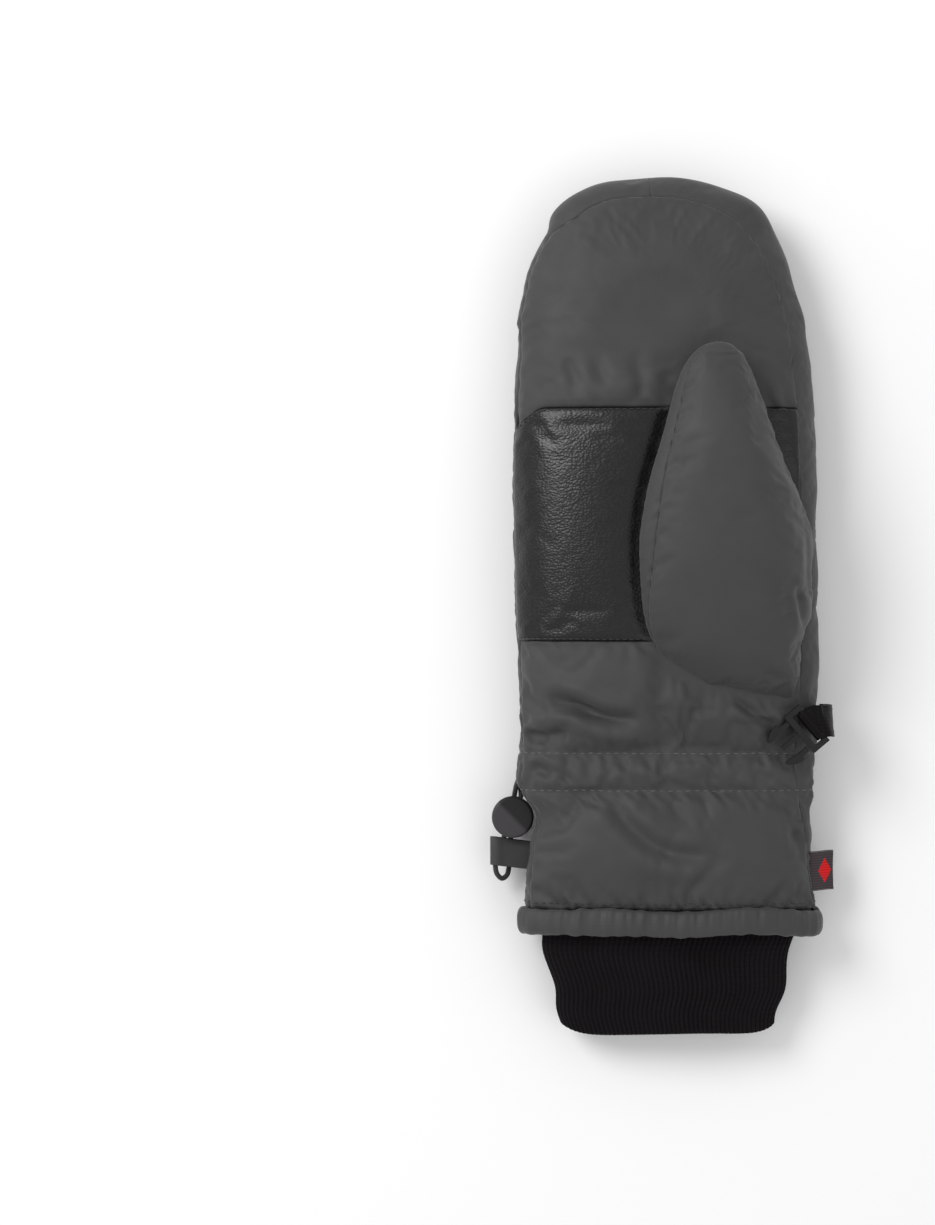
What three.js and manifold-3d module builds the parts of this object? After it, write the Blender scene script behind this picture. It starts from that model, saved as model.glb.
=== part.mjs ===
// An insulated ski mitten for the right hand, lying on its back with the thumb folded over the palm.
// Millimetres. +Y runs from the hem to the fingertips, +X is the thumb side, +Z comes out of the palm.
import * as THREE from "three";
import { mergeVertices } from "three/addons/utils/BufferGeometryUtils.js";
import Module from "manifold-3d";

const wasm = await Module();
wasm.setup();

// ---------------------------------------------------------------- driving dimensions
const GAP = 0.3; // left between pieces that touch
const SHELL = 0.8; // shell fabric with its seam allowance
const PADDING = 5; // hand insulation
const GAUNTLET_PADDING = 3;
const LINING = 1;
const FACING = 0.8;

const HEM_LENGTH = 11; // the rolled hem, along Y
const HEM_THICK = 8; // and through the wall
const TIP_START = 215; // where the outline starts to round off
const TIP_LENGTH = 80; // so the mitten is 295 long from hem to fingertip
const TIP_POWER = 0.8; // exponent of the rounded tip's outline
const TIP_CROWN = 0.75; // exponent of its thickness
const TIP_LEAN = -1.7; // the fingertip leans this far to the little-finger side
const SECTION_POWER = 2 / 2.6; // a cross-section is a superellipse of power 2.6
const SECTION_SIDES = 20;

const MID_HEIGHT = 18; // the level that parts the palm side from the back
const PALM_SEAM = 7; // the palm panels stop this far inside the outline
const BACK_SEAM = 3; // the back panel stops this far inside it
const TIP_SEAM_X = -8.6; // where the two gussets meet at the fingertip
const PATCH_LOW = 114.7; // the leather patch runs between these two seams
const PATCH_HIGH = 206.3;
const WRIST_LOW = 54.5; // stitch rows of the wrist casing
const WRIST_HIGH = 66;
const WRIST_Y = (WRIST_LOW + WRIST_HIGH) / 2;
const LINING_END = 29; // the lining is sewn to the knit cuff here

const EMBLEM = { width: 48, height: 46, thick: 1.6, y: 125 };

const THUMB = { x: 24, y: 130, radius: 34, entry: 18, low: 42.5, high: 67 };
const THUMB_TIP = { x: 20, y: 219, radius: 12, high: 61 };
const THUMB_PADDING = 3;

const LABEL = { x: 57.2, end: 64.7, y: 25.2, width: 15.3, z: 15.5, thick: 0.9 };
const STRAP = { width: 12.5, thick: 1.1, y: 84 };
const BUCKLE = { x: 54.8, y: 82.9, z: 34.2, turn: 220, bar: 1.2, half: 9, length: 17.5, thick: 3.6 };
const LOCK = { x: -60.2, y: 46, lean: -14, radius: 6.2, bore: 4.75, plunger: 4.4, cap: 7.4, travel: 2.5 };
const CORD = { diameter: 2, apart: 1.3, z: 9.5 };
const TAB = { low: 25.2, high: 32.6, root: -55, fold: -67, z: 11.9, turn: 1.75, thick: 0.7 };

// Cross-sections of the hand and gauntlet, from the hem to where the tip starts.
const SECTIONS = [
  { y: -20, left: -55.8, right: 57.5, low: -1, high: 34 },
  { y: 16, left: -55.8, right: 57.5, low: -1, high: 34 },
  { y: 35, left: -51.8, right: 56.3, low: -1.5, high: 34 },
  { y: 51, left: -51.6, right: 56.8, low: -1, high: 33 },
  { y: 61, left: -56.5, right: 57.7, low: 1, high: 32 },
  { y: 71, left: -58, right: 57.9, low: 1, high: 33 },
  { y: 97, left: -58.7, right: 58.3, low: -2, high: 38.5 },
  { y: 125, left: -60.2, right: 58.4, low: -2, high: 40 },
  { y: 175, left: -61.1, right: 57.7, low: -2, high: 40 },
  { y: TIP_START, left: -59.6, right: 56, low: -2, high: 38.5 },
];
const TIP_ANGLES = [24, 45, 62, 77];

// ---------------------------------------------------------------- colours
const cloth = (color) => new THREE.MeshStandardMaterial({ color, roughness: 0.75, metalness: 0 });
const FINISH = {
  shell: cloth(0x4c4c4c),
  lining: cloth(0x2c2c2e),
  padding: cloth(0xd8d8d4),
  knit: new THREE.MeshStandardMaterial({ color: 0x171215, roughness: 0.95, metalness: 0 }),
  leather: new THREE.MeshStandardMaterial({ color: 0x282628, roughness: 0.42, metalness: 0 }),
  emblem: new THREE.MeshStandardMaterial({ color: 0x3c373b, roughness: 0.6, metalness: 0 }),
  webbing: new THREE.MeshStandardMaterial({ color: 0x2a282b, roughness: 0.7, metalness: 0 }),
  plastic: new THREE.MeshStandardMaterial({ color: 0x232225, roughness: 0.4, metalness: 0 }),
  label: new THREE.MeshStandardMaterial({ color: 0x3d353a, roughness: 0.8, metalness: 0 }),
  steel: new THREE.MeshStandardMaterial({ color: 0x9a9a9c, roughness: 0.35, metalness: 1 }),
};

// ---------------------------------------------------------------- solids
const radians = THREE.MathUtils.degToRad;

// A closed three.js geometry as a solid that can be joined and cut.
function solid(geometry) {
  const bare = geometry.index ? geometry.toNonIndexed() : geometry.clone();
  const places = new THREE.BufferGeometry().setAttribute("position", bare.attributes.position);
  const merged = mergeVertices(places, 1e-3);
  const points = merged.attributes.position;
  const corner = [0, 1, 2].map(() => new THREE.Vector3());
  const kept = [];
  let volume = 0;
  for (let i = 0; i < merged.index.count; i += 3) {
    const face = [0, 1, 2].map((k) => merged.index.getX(i + k));
    if (new Set(face).size < 3) continue;
    face.forEach((p, k) => corner[k].fromBufferAttribute(points, p));
    volume += corner[0].dot(corner[1].clone().cross(corner[2]));
    kept.push(face);
  }
  const triVerts = new Uint32Array(kept.flatMap((face) => (volume < 0 ? face.reverse() : face)));
  return new wasm.Manifold(new wasm.Mesh({ numProp: 3, vertProperties: points.array, triVerts }));
}

// A named mesh from a solid.
function piece(name, shape, material) {
  const { vertProperties, triVerts } = shape.getMesh();
  const geometry = new THREE.BufferGeometry();
  geometry.setAttribute("position", new THREE.BufferAttribute(vertProperties, 3));
  geometry.setIndex(new THREE.BufferAttribute(triVerts, 1));
  geometry.computeVertexNormals();
  const mesh = new THREE.Mesh(geometry, material);
  mesh.name = name;
  return mesh;
}

// A surface through rings of points, capped at both ends, or joined end to end.
function loft(rings, joined = false) {
  const sides = rings[0].length;
  const points = rings.flat();
  const faces = [];
  const spans = joined ? rings.length : rings.length - 1;
  for (let r = 0; r < spans; r++) {
    const near = r * sides;
    const far = ((r + 1) % rings.length) * sides;
    for (let i = 0; i < sides; i++) {
      const next = (i + 1) % sides;
      faces.push(near + i, near + next, far + next, near + i, far + next, far + i);
    }
  }
  const last = points.length - sides;
  for (let i = 1; i < sides - 1 && !joined; i++) {
    faces.push(0, i + 1, i, last, last + i, last + i + 1);
  }
  return solid(new THREE.BufferGeometry().setFromPoints(points).setIndex(faces));
}

function block(x0, x1, y0, y1, z0, z1) {
  const box = new THREE.BoxGeometry(x1 - x0, y1 - y0, z1 - z0);
  return solid(box.translate((x0 + x1) / 2, (y0 + y1) / 2, (z0 + z1) / 2));
}

const FAR = 200; // half the side of a block that only trims
const slab = (y0, y1) => block(-FAR, FAR, y0, y1, -FAR, FAR);
const above = (z) => block(-FAR, FAR, -FAR, 2 * FAR, z, FAR);
const below = (z) => block(-FAR, FAR, -FAR, 2 * FAR, -FAR, z);

// An upright round post.
function post(x, y, radius, z0, z1, sides = 24) {
  const shape = new THREE.CylinderGeometry(radius, radius, z1 - z0, sides).rotateX(Math.PI / 2);
  return solid(shape.translate(x, y, (z0 + z1) / 2));
}

// A round tube along a curve.
function tube(curve, radius, steps, sides = 8) {
  const section = new THREE.Shape();
  for (let i = 0; i < sides; i++) {
    const turn = (2 * Math.PI * i) / sides;
    section[i ? "lineTo" : "moveTo"](radius * Math.cos(turn), radius * Math.sin(turn));
  }
  section.closePath();
  return solid(new THREE.ExtrudeGeometry(section, { steps, extrudePath: curve, curveSegments: 1 }));
}

// A flat ribbon along points; its width lies in the XY plane, turned from +Y by each point's angle.
function ribbon(points, angles, width, thick, steps) {
  const curve = new THREE.CatmullRomCurve3(points, false, "centripetal");
  const rings = [];
  for (let i = 0; i <= steps; i++) {
    const t = i / steps;
    const place = t * (angles.length - 1);
    const before = Math.min(Math.floor(place), angles.length - 2);
    const turn = radians(THREE.MathUtils.lerp(angles[before], angles[before + 1], place - before));
    const side = new THREE.Vector3(-Math.sin(turn), Math.cos(turn), 0);
    const face = side.clone().cross(curve.getTangent(t)).normalize();
    rings.push([[1, 1], [1, -1], [-1, -1], [-1, 1]].map(([s, f]) => curve.getPoint(t)
      .addScaledVector(side, (s * width) / 2)
      .addScaledVector(face, (f * thick) / 2)));
  }
  return loft(rings);
}

// ---------------------------------------------------------------- the hand's form
const power = (value, exponent) => Math.sign(value) * Math.abs(value) ** exponent;

// One cross-section as a ring of points in an XZ plane.
function sectionRing({ y, left, right, low, high }) {
  return Array.from({ length: SECTION_SIDES }, (_, i) => {
    const turn = (2 * Math.PI * (i + 0.5)) / SECTION_SIDES;
    const x = (left + right) / 2 + ((right - left) / 2) * power(Math.cos(turn), SECTION_POWER);
    const z = (low + high) / 2 + ((high - low) / 2) * power(Math.sin(turn), SECTION_POWER);
    return new THREE.Vector3(x, y, z);
  });
}

const insetSection = (s, inset) => ({
  y: s.y,
  left: s.left + inset,
  right: s.right - inset,
  low: s.low + inset,
  high: s.high - inset,
});

// The rounded tip's section at an angle round its outline: 0 is where it starts, 90 the very tip.
function tipSection(inset, angle) {
  const base = insetSection(SECTIONS.at(-1), inset);
  const across = Math.cos(radians(angle)) ** TIP_POWER;
  const through = Math.cos(radians(angle)) ** TIP_CROWN;
  const along = Math.sin(radians(angle)) ** TIP_POWER;
  const middle = (base.left + base.right) / 2 + TIP_LEAN * along;
  const level = (base.low + base.high) / 2;
  return {
    y: TIP_START + (TIP_LENGTH - inset) * along,
    left: middle - ((base.right - base.left) / 2) * across,
    right: middle + ((base.right - base.left) / 2) * across,
    low: level - ((base.high - base.low) / 2) * through,
    high: level + ((base.high - base.low) / 2) * through,
  };
}

const handSections = (inset) => [
  ...SECTIONS.map((s) => insetSection(s, inset)),
  ...TIP_ANGLES.map((angle) => tipSection(inset, angle)),
  tipSection(inset, 90),
];

// The whole hand and gauntlet, moved in by inset all round and flat where it rests.
const hand = (inset) => loft(handSections(inset).map(sectionRing)).intersect(above(Math.max(inset, 0)));

// A wall between two insets.
const wall = (outer, inner) => hand(outer).subtract(hand(inner));

// The plan outline moved in by inset, as an upright prism.
function prism(inset, z0, z1) {
  const sections = handSections(inset);
  const outline = new THREE.Shape([
    ...sections.map((s) => new THREE.Vector2(s.left, s.y)),
    ...sections.slice(0, -1).reverse().map((s) => new THREE.Vector2(s.right, s.y)),
  ]);
  return solid(new THREE.ExtrudeGeometry(outline, { depth: z1 - z0, bevelEnabled: false }).translate(0, 0, z0));
}

// The recess that the emblem presses into the back, grown all round.
const emblemPocket = (grow) => block(
  -EMBLEM.width / 2 - grow, EMBLEM.width / 2 + grow,
  EMBLEM.y - EMBLEM.height / 2 - grow, EMBLEM.y + EMBLEM.height / 2 + grow,
  -FAR, EMBLEM.thick + grow,
);

const thumbHole = (radius, z0, z1) => post(THUMB.x, THUMB.y, radius, z0, z1);

// ---------------------------------------------------------------- shell panels
function shellPanels() {
  const skin = hand(0).subtract(emblemPocket(GAP))
    .subtract(hand(SHELL).subtract(emblemPocket(GAP + SHELL)))
    .subtract(thumbHole(THUMB.entry, MID_HEIGHT, FAR))
    .intersect(slab(HEM_LENGTH + GAP, 2 * FAR));
  const palm = skin.intersect(prism(PALM_SEAM, MID_HEIGHT, FAR));
  const back = skin.intersect(prism(BACK_SEAM, -FAR, MID_HEIGHT));
  const sides = skin
    .subtract(prism(PALM_SEAM - GAP, MID_HEIGHT - GAP, FAR))
    .subtract(prism(BACK_SEAM - GAP, -FAR, MID_HEIGHT));
  const thumbSide = sides.intersect(block(TIP_SEAM_X + GAP / 2, FAR, -FAR, 2 * FAR, -FAR, FAR));
  const littleSide = sides.intersect(block(-FAR, TIP_SEAM_X - GAP / 2, -FAR, 2 * FAR, -FAR, FAR));
  return [
    piece("back_shell", back, FINISH.shell),
    piece("palm_shell_lower", palm.intersect(slab(-FAR, PATCH_LOW)), FINISH.shell),
    piece("palm_patch", palm.intersect(slab(PATCH_LOW + GAP, PATCH_HIGH - GAP)), FINISH.leather),
    piece("palm_shell_upper", palm.intersect(slab(PATCH_HIGH, 2 * FAR)), FINISH.shell),
    piece("thumb_side_gusset", thumbSide, FINISH.shell),
    piece("little_side_gusset", littleSide, FINISH.shell),
  ];
}

// The thumb stands on this collar, which fills the space down to the curved side of the hand.
function thumbCollar() {
  const ring = post(THUMB.x, THUMB.y, THUMB.radius - 0.5, MID_HEIGHT + 1, THUMB.low - GAP)
    .subtract(thumbHole(THUMB.entry, 0, FAR))
    .subtract(hand(-GAP));
  return piece("thumb_collar", ring, FINISH.shell);
}

// ---------------------------------------------------------------- what is inside the hand
const PADDING_OUT = SHELL + GAP;
const PADDING_IN = PADDING_OUT + PADDING;
const LINING_OUT = PADDING_IN + GAP;
const LINING_IN = LINING_OUT + LINING;
const FACING_OUT = PADDING_OUT + GAUNTLET_PADDING + GAP;
const FACING_IN = FACING_OUT + FACING;

function handFilling() {
  const padding = hand(PADDING_OUT).subtract(hand(PADDING_IN))
    .subtract(emblemPocket(2 * GAP + SHELL))
    .subtract(thumbHole(THUMB.entry, MID_HEIGHT, FAR))
    .intersect(slab(WRIST_HIGH, 2 * FAR));
  const lining = wall(LINING_OUT, LINING_IN)
    .subtract(thumbHole(THUMB.entry, MID_HEIGHT, FAR))
    .intersect(slab(LINING_END + GAP, 2 * FAR));
  const backHalf = below(MID_HEIGHT - GAP / 2);
  const palmHalf = above(MID_HEIGHT + GAP / 2);
  const halves = (shape) => [shape.intersect(backHalf), shape.intersect(palmHalf)];
  const [backPadding, palmPadding] = halves(padding);
  const [backLining, palmLining] = halves(lining);
  return [
    piece("back_insulation", backPadding, FINISH.padding),
    piece("palm_insulation", palmPadding, FINISH.padding),
    piece("back_lining", backLining, FINISH.lining),
    piece("palm_lining", palmLining, FINISH.lining),
  ];
}

// ---------------------------------------------------------------- wrist and gauntlet
// A closed or open line round the wrist, at a constant inset.
function wristLine(inset, from, to, steps) {
  const wrist = insetSection(SECTIONS.find((s) => s.y > WRIST_Y), inset);
  const points = [];
  for (let i = 0; i <= steps; i++) {
    const turn = radians(from + ((to - from) * i) / steps);
    points.push(new THREE.Vector3(
      (wrist.left + wrist.right) / 2 + ((wrist.right - wrist.left) / 2) * power(Math.cos(turn), SECTION_POWER),
      WRIST_Y,
      (wrist.low + wrist.high) / 2 + ((wrist.high - wrist.low) / 2) * power(Math.sin(turn), SECTION_POWER),
    ));
  }
  return points;
}

function wristAndGauntlet() {
  const gauntlet = slab(HEM_LENGTH + GAP, WRIST_LOW - GAP);
  const channelMiddle = (PADDING_OUT + FACING_OUT - GAP) / 2;
  const hiddenCord = tube(
    new THREE.CatmullRomCurve3(wristLine(channelMiddle, -165, 165, 24)), CORD.diameter / 2, 36, 6);
  const padding = wall(PADDING_OUT, PADDING_OUT + GAUNTLET_PADDING);
  const facing = wall(FACING_OUT, FACING_IN);
  return [
    piece("wrist_casing_tape", facing.intersect(slab(WRIST_LOW, WRIST_HIGH - GAP)), FINISH.lining),
    piece("wrist_drawcord", hiddenCord, FINISH.webbing),
    piece("gauntlet_padding", padding.intersect(gauntlet), FINISH.padding),
    piece("gauntlet_facing", facing.intersect(gauntlet), FINISH.lining),
  ];
}

// The rolled hem: an oval section carried round the mouth.
function hemRoll() {
  const mouth = { y: HEM_LENGTH / 2, left: -58, right: 60.4, low: -0.8, high: 36 };
  const rim = sectionRing(insetSection(mouth, HEM_THICK / 2));
  const centre = new THREE.Vector3((mouth.left + mouth.right) / 2, mouth.y, (mouth.low + mouth.high) / 2);
  const corners = 10;
  const rings = rim.map((point, i) => {
    const before = rim[(i + rim.length - 1) % rim.length];
    const along = rim[(i + 1) % rim.length].clone().sub(before).normalize();
    const out = new THREE.Vector3(along.z, 0, -along.x);
    if (out.dot(point.clone().sub(centre)) < 0) out.negate();
    return Array.from({ length: corners }, (_, k) => {
      const turn = (2 * Math.PI * (k + 0.5)) / corners;
      return point.clone()
        .addScaledVector(out, (HEM_THICK / 2) * Math.cos(turn))
        .add(new THREE.Vector3(0, (HEM_LENGTH / 2) * Math.sin(turn), 0));
    });
  });
  const lifted = loft(rings, true).intersect(above(0));
  return piece("hem_roll", lifted, FINISH.shell);
}

// The knit storm cuff: an oval double-knit tube that droops towards the table.
function knitCuff() {
  const KNIT = 3;
  const outer = [
    { y: 29, left: -46.5, right: 49.3, low: 6.4, high: 28 },
    { y: 13, left: -47.6, right: 48.2, low: 8.6, high: 27.4 },
    { y: 0, left: -47.6, right: 47.6, low: 8.4, high: 27 },
    { y: -14, left: -45.4, right: 45.8, low: 5.4, high: 24.4 },
    { y: -28, left: -42.6, right: 43.2, low: 3.4, high: 22.2 },
    { y: -39, left: -40, right: 40.6, low: 2.6, high: 20.6 },
  ];
  const inner = outer.map((s, i) => {
    const past = i === 0 ? 5 : i === outer.length - 1 ? -5 : 0;
    return { ...insetSection(s, KNIT), y: s.y + past };
  });
  return piece("knit_cuff", loft(outer.map(sectionRing)).subtract(loft(inner.map(sectionRing))), FINISH.knit);
}

// ---------------------------------------------------------------- emblem and label
function emblemPatch() {
  const halfX = EMBLEM.width / 2;
  const halfY = EMBLEM.height / 2;
  const plate = block(-halfX, halfX, EMBLEM.y - halfY, EMBLEM.y + halfY, 0, EMBLEM.thick);
  return piece("back_emblem_patch", plate, FINISH.emblem);
}

function sideLabel() {
  const flag = block(LABEL.x, LABEL.end, LABEL.y - LABEL.width / 2, LABEL.y + LABEL.width / 2,
    LABEL.z - LABEL.thick / 2, LABEL.z + LABEL.thick / 2);
  return piece("side_label", flag, FINISH.label);
}

// ---------------------------------------------------------------- thumb
// The thumb's sections, from the heel of its base to its tip, moved in by inset.
function thumbSections(inset) {
  const root = THUMB.radius - inset;
  const tip = THUMB_TIP.radius - inset;
  const at = (y, x, half, high, crown) => {
    const low = THUMB.low - 1.5 + inset;
    const top = high - inset;
    const level = (low + top) / 2;
    return {
      y,
      left: x - half,
      right: x + half,
      low: level - (level - low) * crown,
      high: level + (top - level) * crown,
    };
  };
  const heel = [90, 65, 35].map((angle) => {
    const flat = Math.cos(radians(angle));
    return at(THUMB.y - root * Math.sin(radians(angle)), THUMB.x, root * flat, THUMB.high, flat ** 0.6);
  });
  const mix = THREE.MathUtils.lerp;
  const middle = [0, 0.4, 0.7, 0.88, 1].map((t) => at(
    mix(THUMB.y, THUMB_TIP.y, t), mix(THUMB.x, THUMB_TIP.x, t), mix(root, tip, t ** 2),
    mix(THUMB.high, THUMB_TIP.high, t), 1,
  ));
  const end = [45, 90].map((angle) => {
    const flat = Math.cos(radians(angle));
    const y = THUMB_TIP.y + tip * Math.sin(radians(angle));
    return at(y, THUMB_TIP.x, tip * flat, THUMB_TIP.high, flat ** 0.6);
  });
  return [...heel, ...middle, ...end];
}

const thumbForm = (inset) => loft(thumbSections(inset).map(sectionRing)).intersect(above(THUMB.low + inset));

function thumbPieces() {
  const paddingIn = PADDING_OUT + THUMB_PADDING;
  const liningOut = paddingIn + GAP;
  const hole = thumbHole(THUMB.entry, 0, (THUMB.low + THUMB.high) / 2);
  const skin = thumbForm(0).subtract(thumbForm(SHELL)).subtract(hole);
  // The seam between the thumb's two panels runs along the top of its left side and low on its right.
  const seam = (z) => solid(new THREE.BoxGeometry(FAR, 2 * FAR, FAR)
    .translate(0, 0, FAR / 2 + z)
    .rotateY(radians(14))
    .translate(THUMB.x, THUMB.y, (THUMB.low + THUMB.high) / 2));
  const padding = thumbForm(PADDING_OUT).subtract(thumbForm(paddingIn));
  const lining = thumbForm(liningOut).subtract(thumbForm(liningOut + LINING));
  const thumb = new THREE.Group();
  thumb.add(
    piece("thumb_shell_outer", skin.intersect(seam(GAP)), FINISH.shell),
    piece("thumb_shell_inner", skin.subtract(seam(0)), FINISH.shell),
    piece("thumb_insulation", padding.subtract(hole), FINISH.padding),
    piece("thumb_lining", lining.subtract(hole), FINISH.lining),
  );
  return thumb;
}

// ---------------------------------------------------------------- buckle half and its strap
// A doubled webbing strap: out of the side seam, up round the side, round the buckle's bar and back.
function buckleStrap() {
  const turn = radians(BUCKLE.turn);
  const wrap = BUCKLE.bar + GAP + STRAP.thick / 2;
  const at = (x, z, shift = 0) => new THREE.Vector3(x, STRAP.y + shift, z);
  const outward = [at(59.9, 15.2), at(61.8, 17), at(63, 21), at(63.1, 27), at(61.9, 31.6), at(59.2, 35)];
  const round = [130, 90, 45, 0, -45, -90, -130].map((angle) => new THREE.Vector3(
    BUCKLE.x + wrap * Math.cos(radians(angle)) * Math.cos(turn),
    BUCKLE.y + wrap * Math.cos(radians(angle)) * Math.sin(turn),
    BUCKLE.z + wrap * Math.sin(radians(angle)),
  ));
  const inward = [at(58.7, 32), at(60.5, 29.4), at(61.4, 26), at(61.2, 21.5), at(60.7, 18.7), at(59.9, 16.8)];
  const bar = BUCKLE.turn - 180;
  const shares = [0, 0, 0, 0.1, 0.4, 0.8, ...round.map(() => 1), 0.8, 0.4, 0.1, 0, 0, 0];
  const angles = shares.map((share) => share * bar);
  const strap = ribbon([...outward, ...round, ...inward], angles, STRAP.width, STRAP.thick, 36);
  return piece("buckle_strap", strap, FINISH.webbing);
}

// The male half of a side-release buckle in its own frame: the bar on the Y axis, prongs along +X.
function buckle() {
  const half = BUCKLE.thick / 2;
  const armWidth = 2;
  const crossStart = 4.2;
  const crossEnd = 6.6;
  const guide = { half: 0.9, thick: 2, end: BUCKLE.length - 2.6 };
  const prong = {
    start: crossEnd + GAP, end: BUCKLE.length, thick: 2.8,
    inner: 5, outer: 6.9, barb: 8.6, barbStart: 11, tip: 4.6,
  };

  const bar = solid(new THREE.CylinderGeometry(BUCKLE.bar, BUCKLE.bar, 2 * BUCKLE.half, 12));
  const arm = (side) => block(-BUCKLE.bar, crossEnd, side * BUCKLE.half - armWidth / 2 - side * armWidth / 2,
    side * BUCKLE.half + armWidth / 2 - side * armWidth / 2, -half, half);
  const cross = block(crossStart, crossEnd, -BUCKLE.half, BUCKLE.half, -half, half);
  const rail = block(crossStart, guide.end, -guide.half, guide.half, -guide.thick / 2, guide.thick / 2);
  const frame = bar.add(arm(1)).add(arm(-1)).add(cross).add(rail);

  const prongOutline = (side) => {
    const outline = new THREE.Shape();
    outline.moveTo(prong.start, side * prong.inner);
    outline.lineTo(prong.start, side * prong.outer);
    outline.lineTo(prong.barbStart - 0.4, side * (prong.outer + 0.3));
    outline.lineTo(prong.barbStart, side * prong.barb);
    outline.quadraticCurveTo(prong.end - 2, side * (prong.barb - 0.3), prong.end, side * (prong.tip + 1));
    outline.quadraticCurveTo(prong.end + 0.2, side * prong.tip, prong.end - 1.6, side * prong.tip);
    outline.quadraticCurveTo(prong.barbStart + 0.5, side * (prong.inner + 0.8), prong.start, side * prong.inner);
    return outline;
  };
  const prongSolid = (side) => solid(new THREE.ExtrudeGeometry(prongOutline(side),
    { depth: prong.thick, bevelEnabled: false, curveSegments: 5 }).translate(0, 0, -prong.thick / 2));

  const group = new THREE.Group();
  group.add(
    piece("buckle_frame", frame, FINISH.plastic),
    piece("buckle_prong_left", prongSolid(1), FINISH.plastic),
    piece("buckle_prong_right", prongSolid(-1), FINISH.plastic),
  );
  group.position.set(BUCKLE.x, BUCKLE.y, BUCKLE.z);
  group.rotation.z = radians(BUCKLE.turn);
  return group;
}

// ---------------------------------------------------------------- drawcord, cord lock and tab
const lathe = (profile, sides = 24) =>
  solid(new THREE.LatheGeometry(profile.map(([r, z]) => new THREE.Vector2(r, z)), sides).rotateX(Math.PI / 2));

// The cord lock, upright about the Z axis of its own group.
function cordLock() {
  const floorZ = 1;
  const foot = 3.6;
  const shoulder = 5.4;
  const spring = { low: 2.5, high: 6.7, radius: 3.4, wire: 0.3, turns: 3, points: 30 };
  const plungerLow = 7;
  const barrelTop = 12.2;
  const capLow = 14.9;
  const capHigh = 16.3;
  const clear = CORD.diameter / 2 + GAP;
  const across = CORD.apart + clear;
  const barrelHole = block(-across, across, -FAR, FAR, CORD.z - clear, CORD.z + clear);
  const plungerHole = block(-across, across, -FAR, FAR, CORD.z - clear, CORD.z + clear + LOCK.travel);
  const barrel = lathe([[0, floorZ], [foot, floorZ], [shoulder, floorZ + 0.9], [LOCK.radius, floorZ + 3],
    [LOCK.radius, barrelTop - 1], [LOCK.radius - 0.7, barrelTop], [LOCK.bore, barrelTop],
    [LOCK.bore, spring.low - GAP], [0, spring.low - GAP]]).subtract(barrelHole);
  const button = lathe([[0, plungerLow], [LOCK.plunger, plungerLow], [LOCK.plunger, capLow],
    [LOCK.cap, capLow], [LOCK.cap, capHigh - 0.5], [LOCK.cap - 0.5, capHigh], [0, capHigh + 1.1]])
    .subtract(plungerHole);
  const coil = new THREE.CatmullRomCurve3(Array.from({ length: spring.points + 1 }, (_, i) => {
    const share = i / spring.points;
    const turn = share * spring.turns * 2 * Math.PI;
    const rise = spring.low + spring.wire + (spring.high - spring.low - 2 * spring.wire) * share;
    return new THREE.Vector3(spring.radius * Math.cos(turn), spring.radius * Math.sin(turn), rise);
  }));
  const group = new THREE.Group();
  group.add(
    piece("cord_lock_body", barrel, FINISH.plastic),
    piece("cord_lock_button", button, FINISH.plastic),
    piece("cord_lock_spring", tube(coil, spring.wire, 36, 5), FINISH.steel),
  );
  group.position.set(LOCK.x, LOCK.y, 0);
  group.rotation.z = radians(LOCK.lean);
  return group;
}

// The free loop of the drawcord: out of the casing, through the lock, round in the tab and back.
function drawcordLoop() {
  const route = [
    [-58.2, 60, 13.6], [-58.9, 57.6, 11.8], [-59.5, 54.2, 9.8], [-60.2, 51.2, 9.5], [-61.46, 46.3, 9.5],
    [-62.6, 41.8, 9.5], [-64, 36.6, 9.6], [-65.5, 34.8, 10.8], [-66.7, 33, 11.8], [-67, 29.6, 11.9],
    [-67, 26.8, 11.9], [-66.4, 23.6, 11.2], [-64.4, 21.6, 9.9], [-62.4, 22.8, 8.4], [-61.6, 26, 7.5],
    [-61.4, 30, 7.5], [-61.5, 34.4, 8.6], [-60.9, 37.6, 9.5], [-59.9, 41.6, 9.5], [-58.94, 45.7, 9.5],
    [-57.7, 50.5, 9.5], [-57, 53.4, 9.5], [-57, 56, 9.6], [-57.4, 58.6, 9.8],
  ];
  const curve = new THREE.CatmullRomCurve3(route.map((p) => new THREE.Vector3(...p)), false, "centripetal");
  return piece("drawcord_loop", tube(curve, CORD.diameter / 2, 44), FINISH.webbing);
}

// The shell-fabric tab whose fold holds the end of the loop.
function drawcordTab() {
  const middle = (TAB.low + TAB.high) / 2;
  const at = (x, z) => new THREE.Vector3(x, middle, z);
  const fold = [-90, -135, -180, -225, -270].map((angle) =>
    at(TAB.fold + TAB.turn * Math.cos(radians(angle)), TAB.z + TAB.turn * Math.sin(radians(angle))));
  const under = at(TAB.root, TAB.z - TAB.turn);
  const over = at(TAB.root, TAB.z - TAB.turn + TAB.thick + GAP);
  const path = [under, at((TAB.root + TAB.fold) / 2, TAB.z - TAB.turn), ...fold, at(-63.5, TAB.z + 0.9), over];
  return piece("drawcord_tab", ribbon(path, path.map(() => 0), TAB.high - TAB.low, TAB.thick, 24), FINISH.shell);
}

// ---------------------------------------------------------------- assembly
const mitten = new THREE.Group();
mitten.add(
  ...shellPanels(),
  thumbCollar(),
  ...handFilling(),
  ...wristAndGauntlet(),
  hemRoll(),
  knitCuff(),
  emblemPatch(),
  sideLabel(),
  thumbPieces(),
  buckleStrap(),
  buckle(),
  cordLock(),
  drawcordLoop(),
  drawcordTab(),
);

// The origin is the middle of the whole outline, on the table.
const extent = new THREE.Box3().setFromObject(mitten, true);
const middle = extent.getCenter(new THREE.Vector3());
mitten.position.set(-middle.x, -middle.y, 0);

export default mitten;
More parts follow.
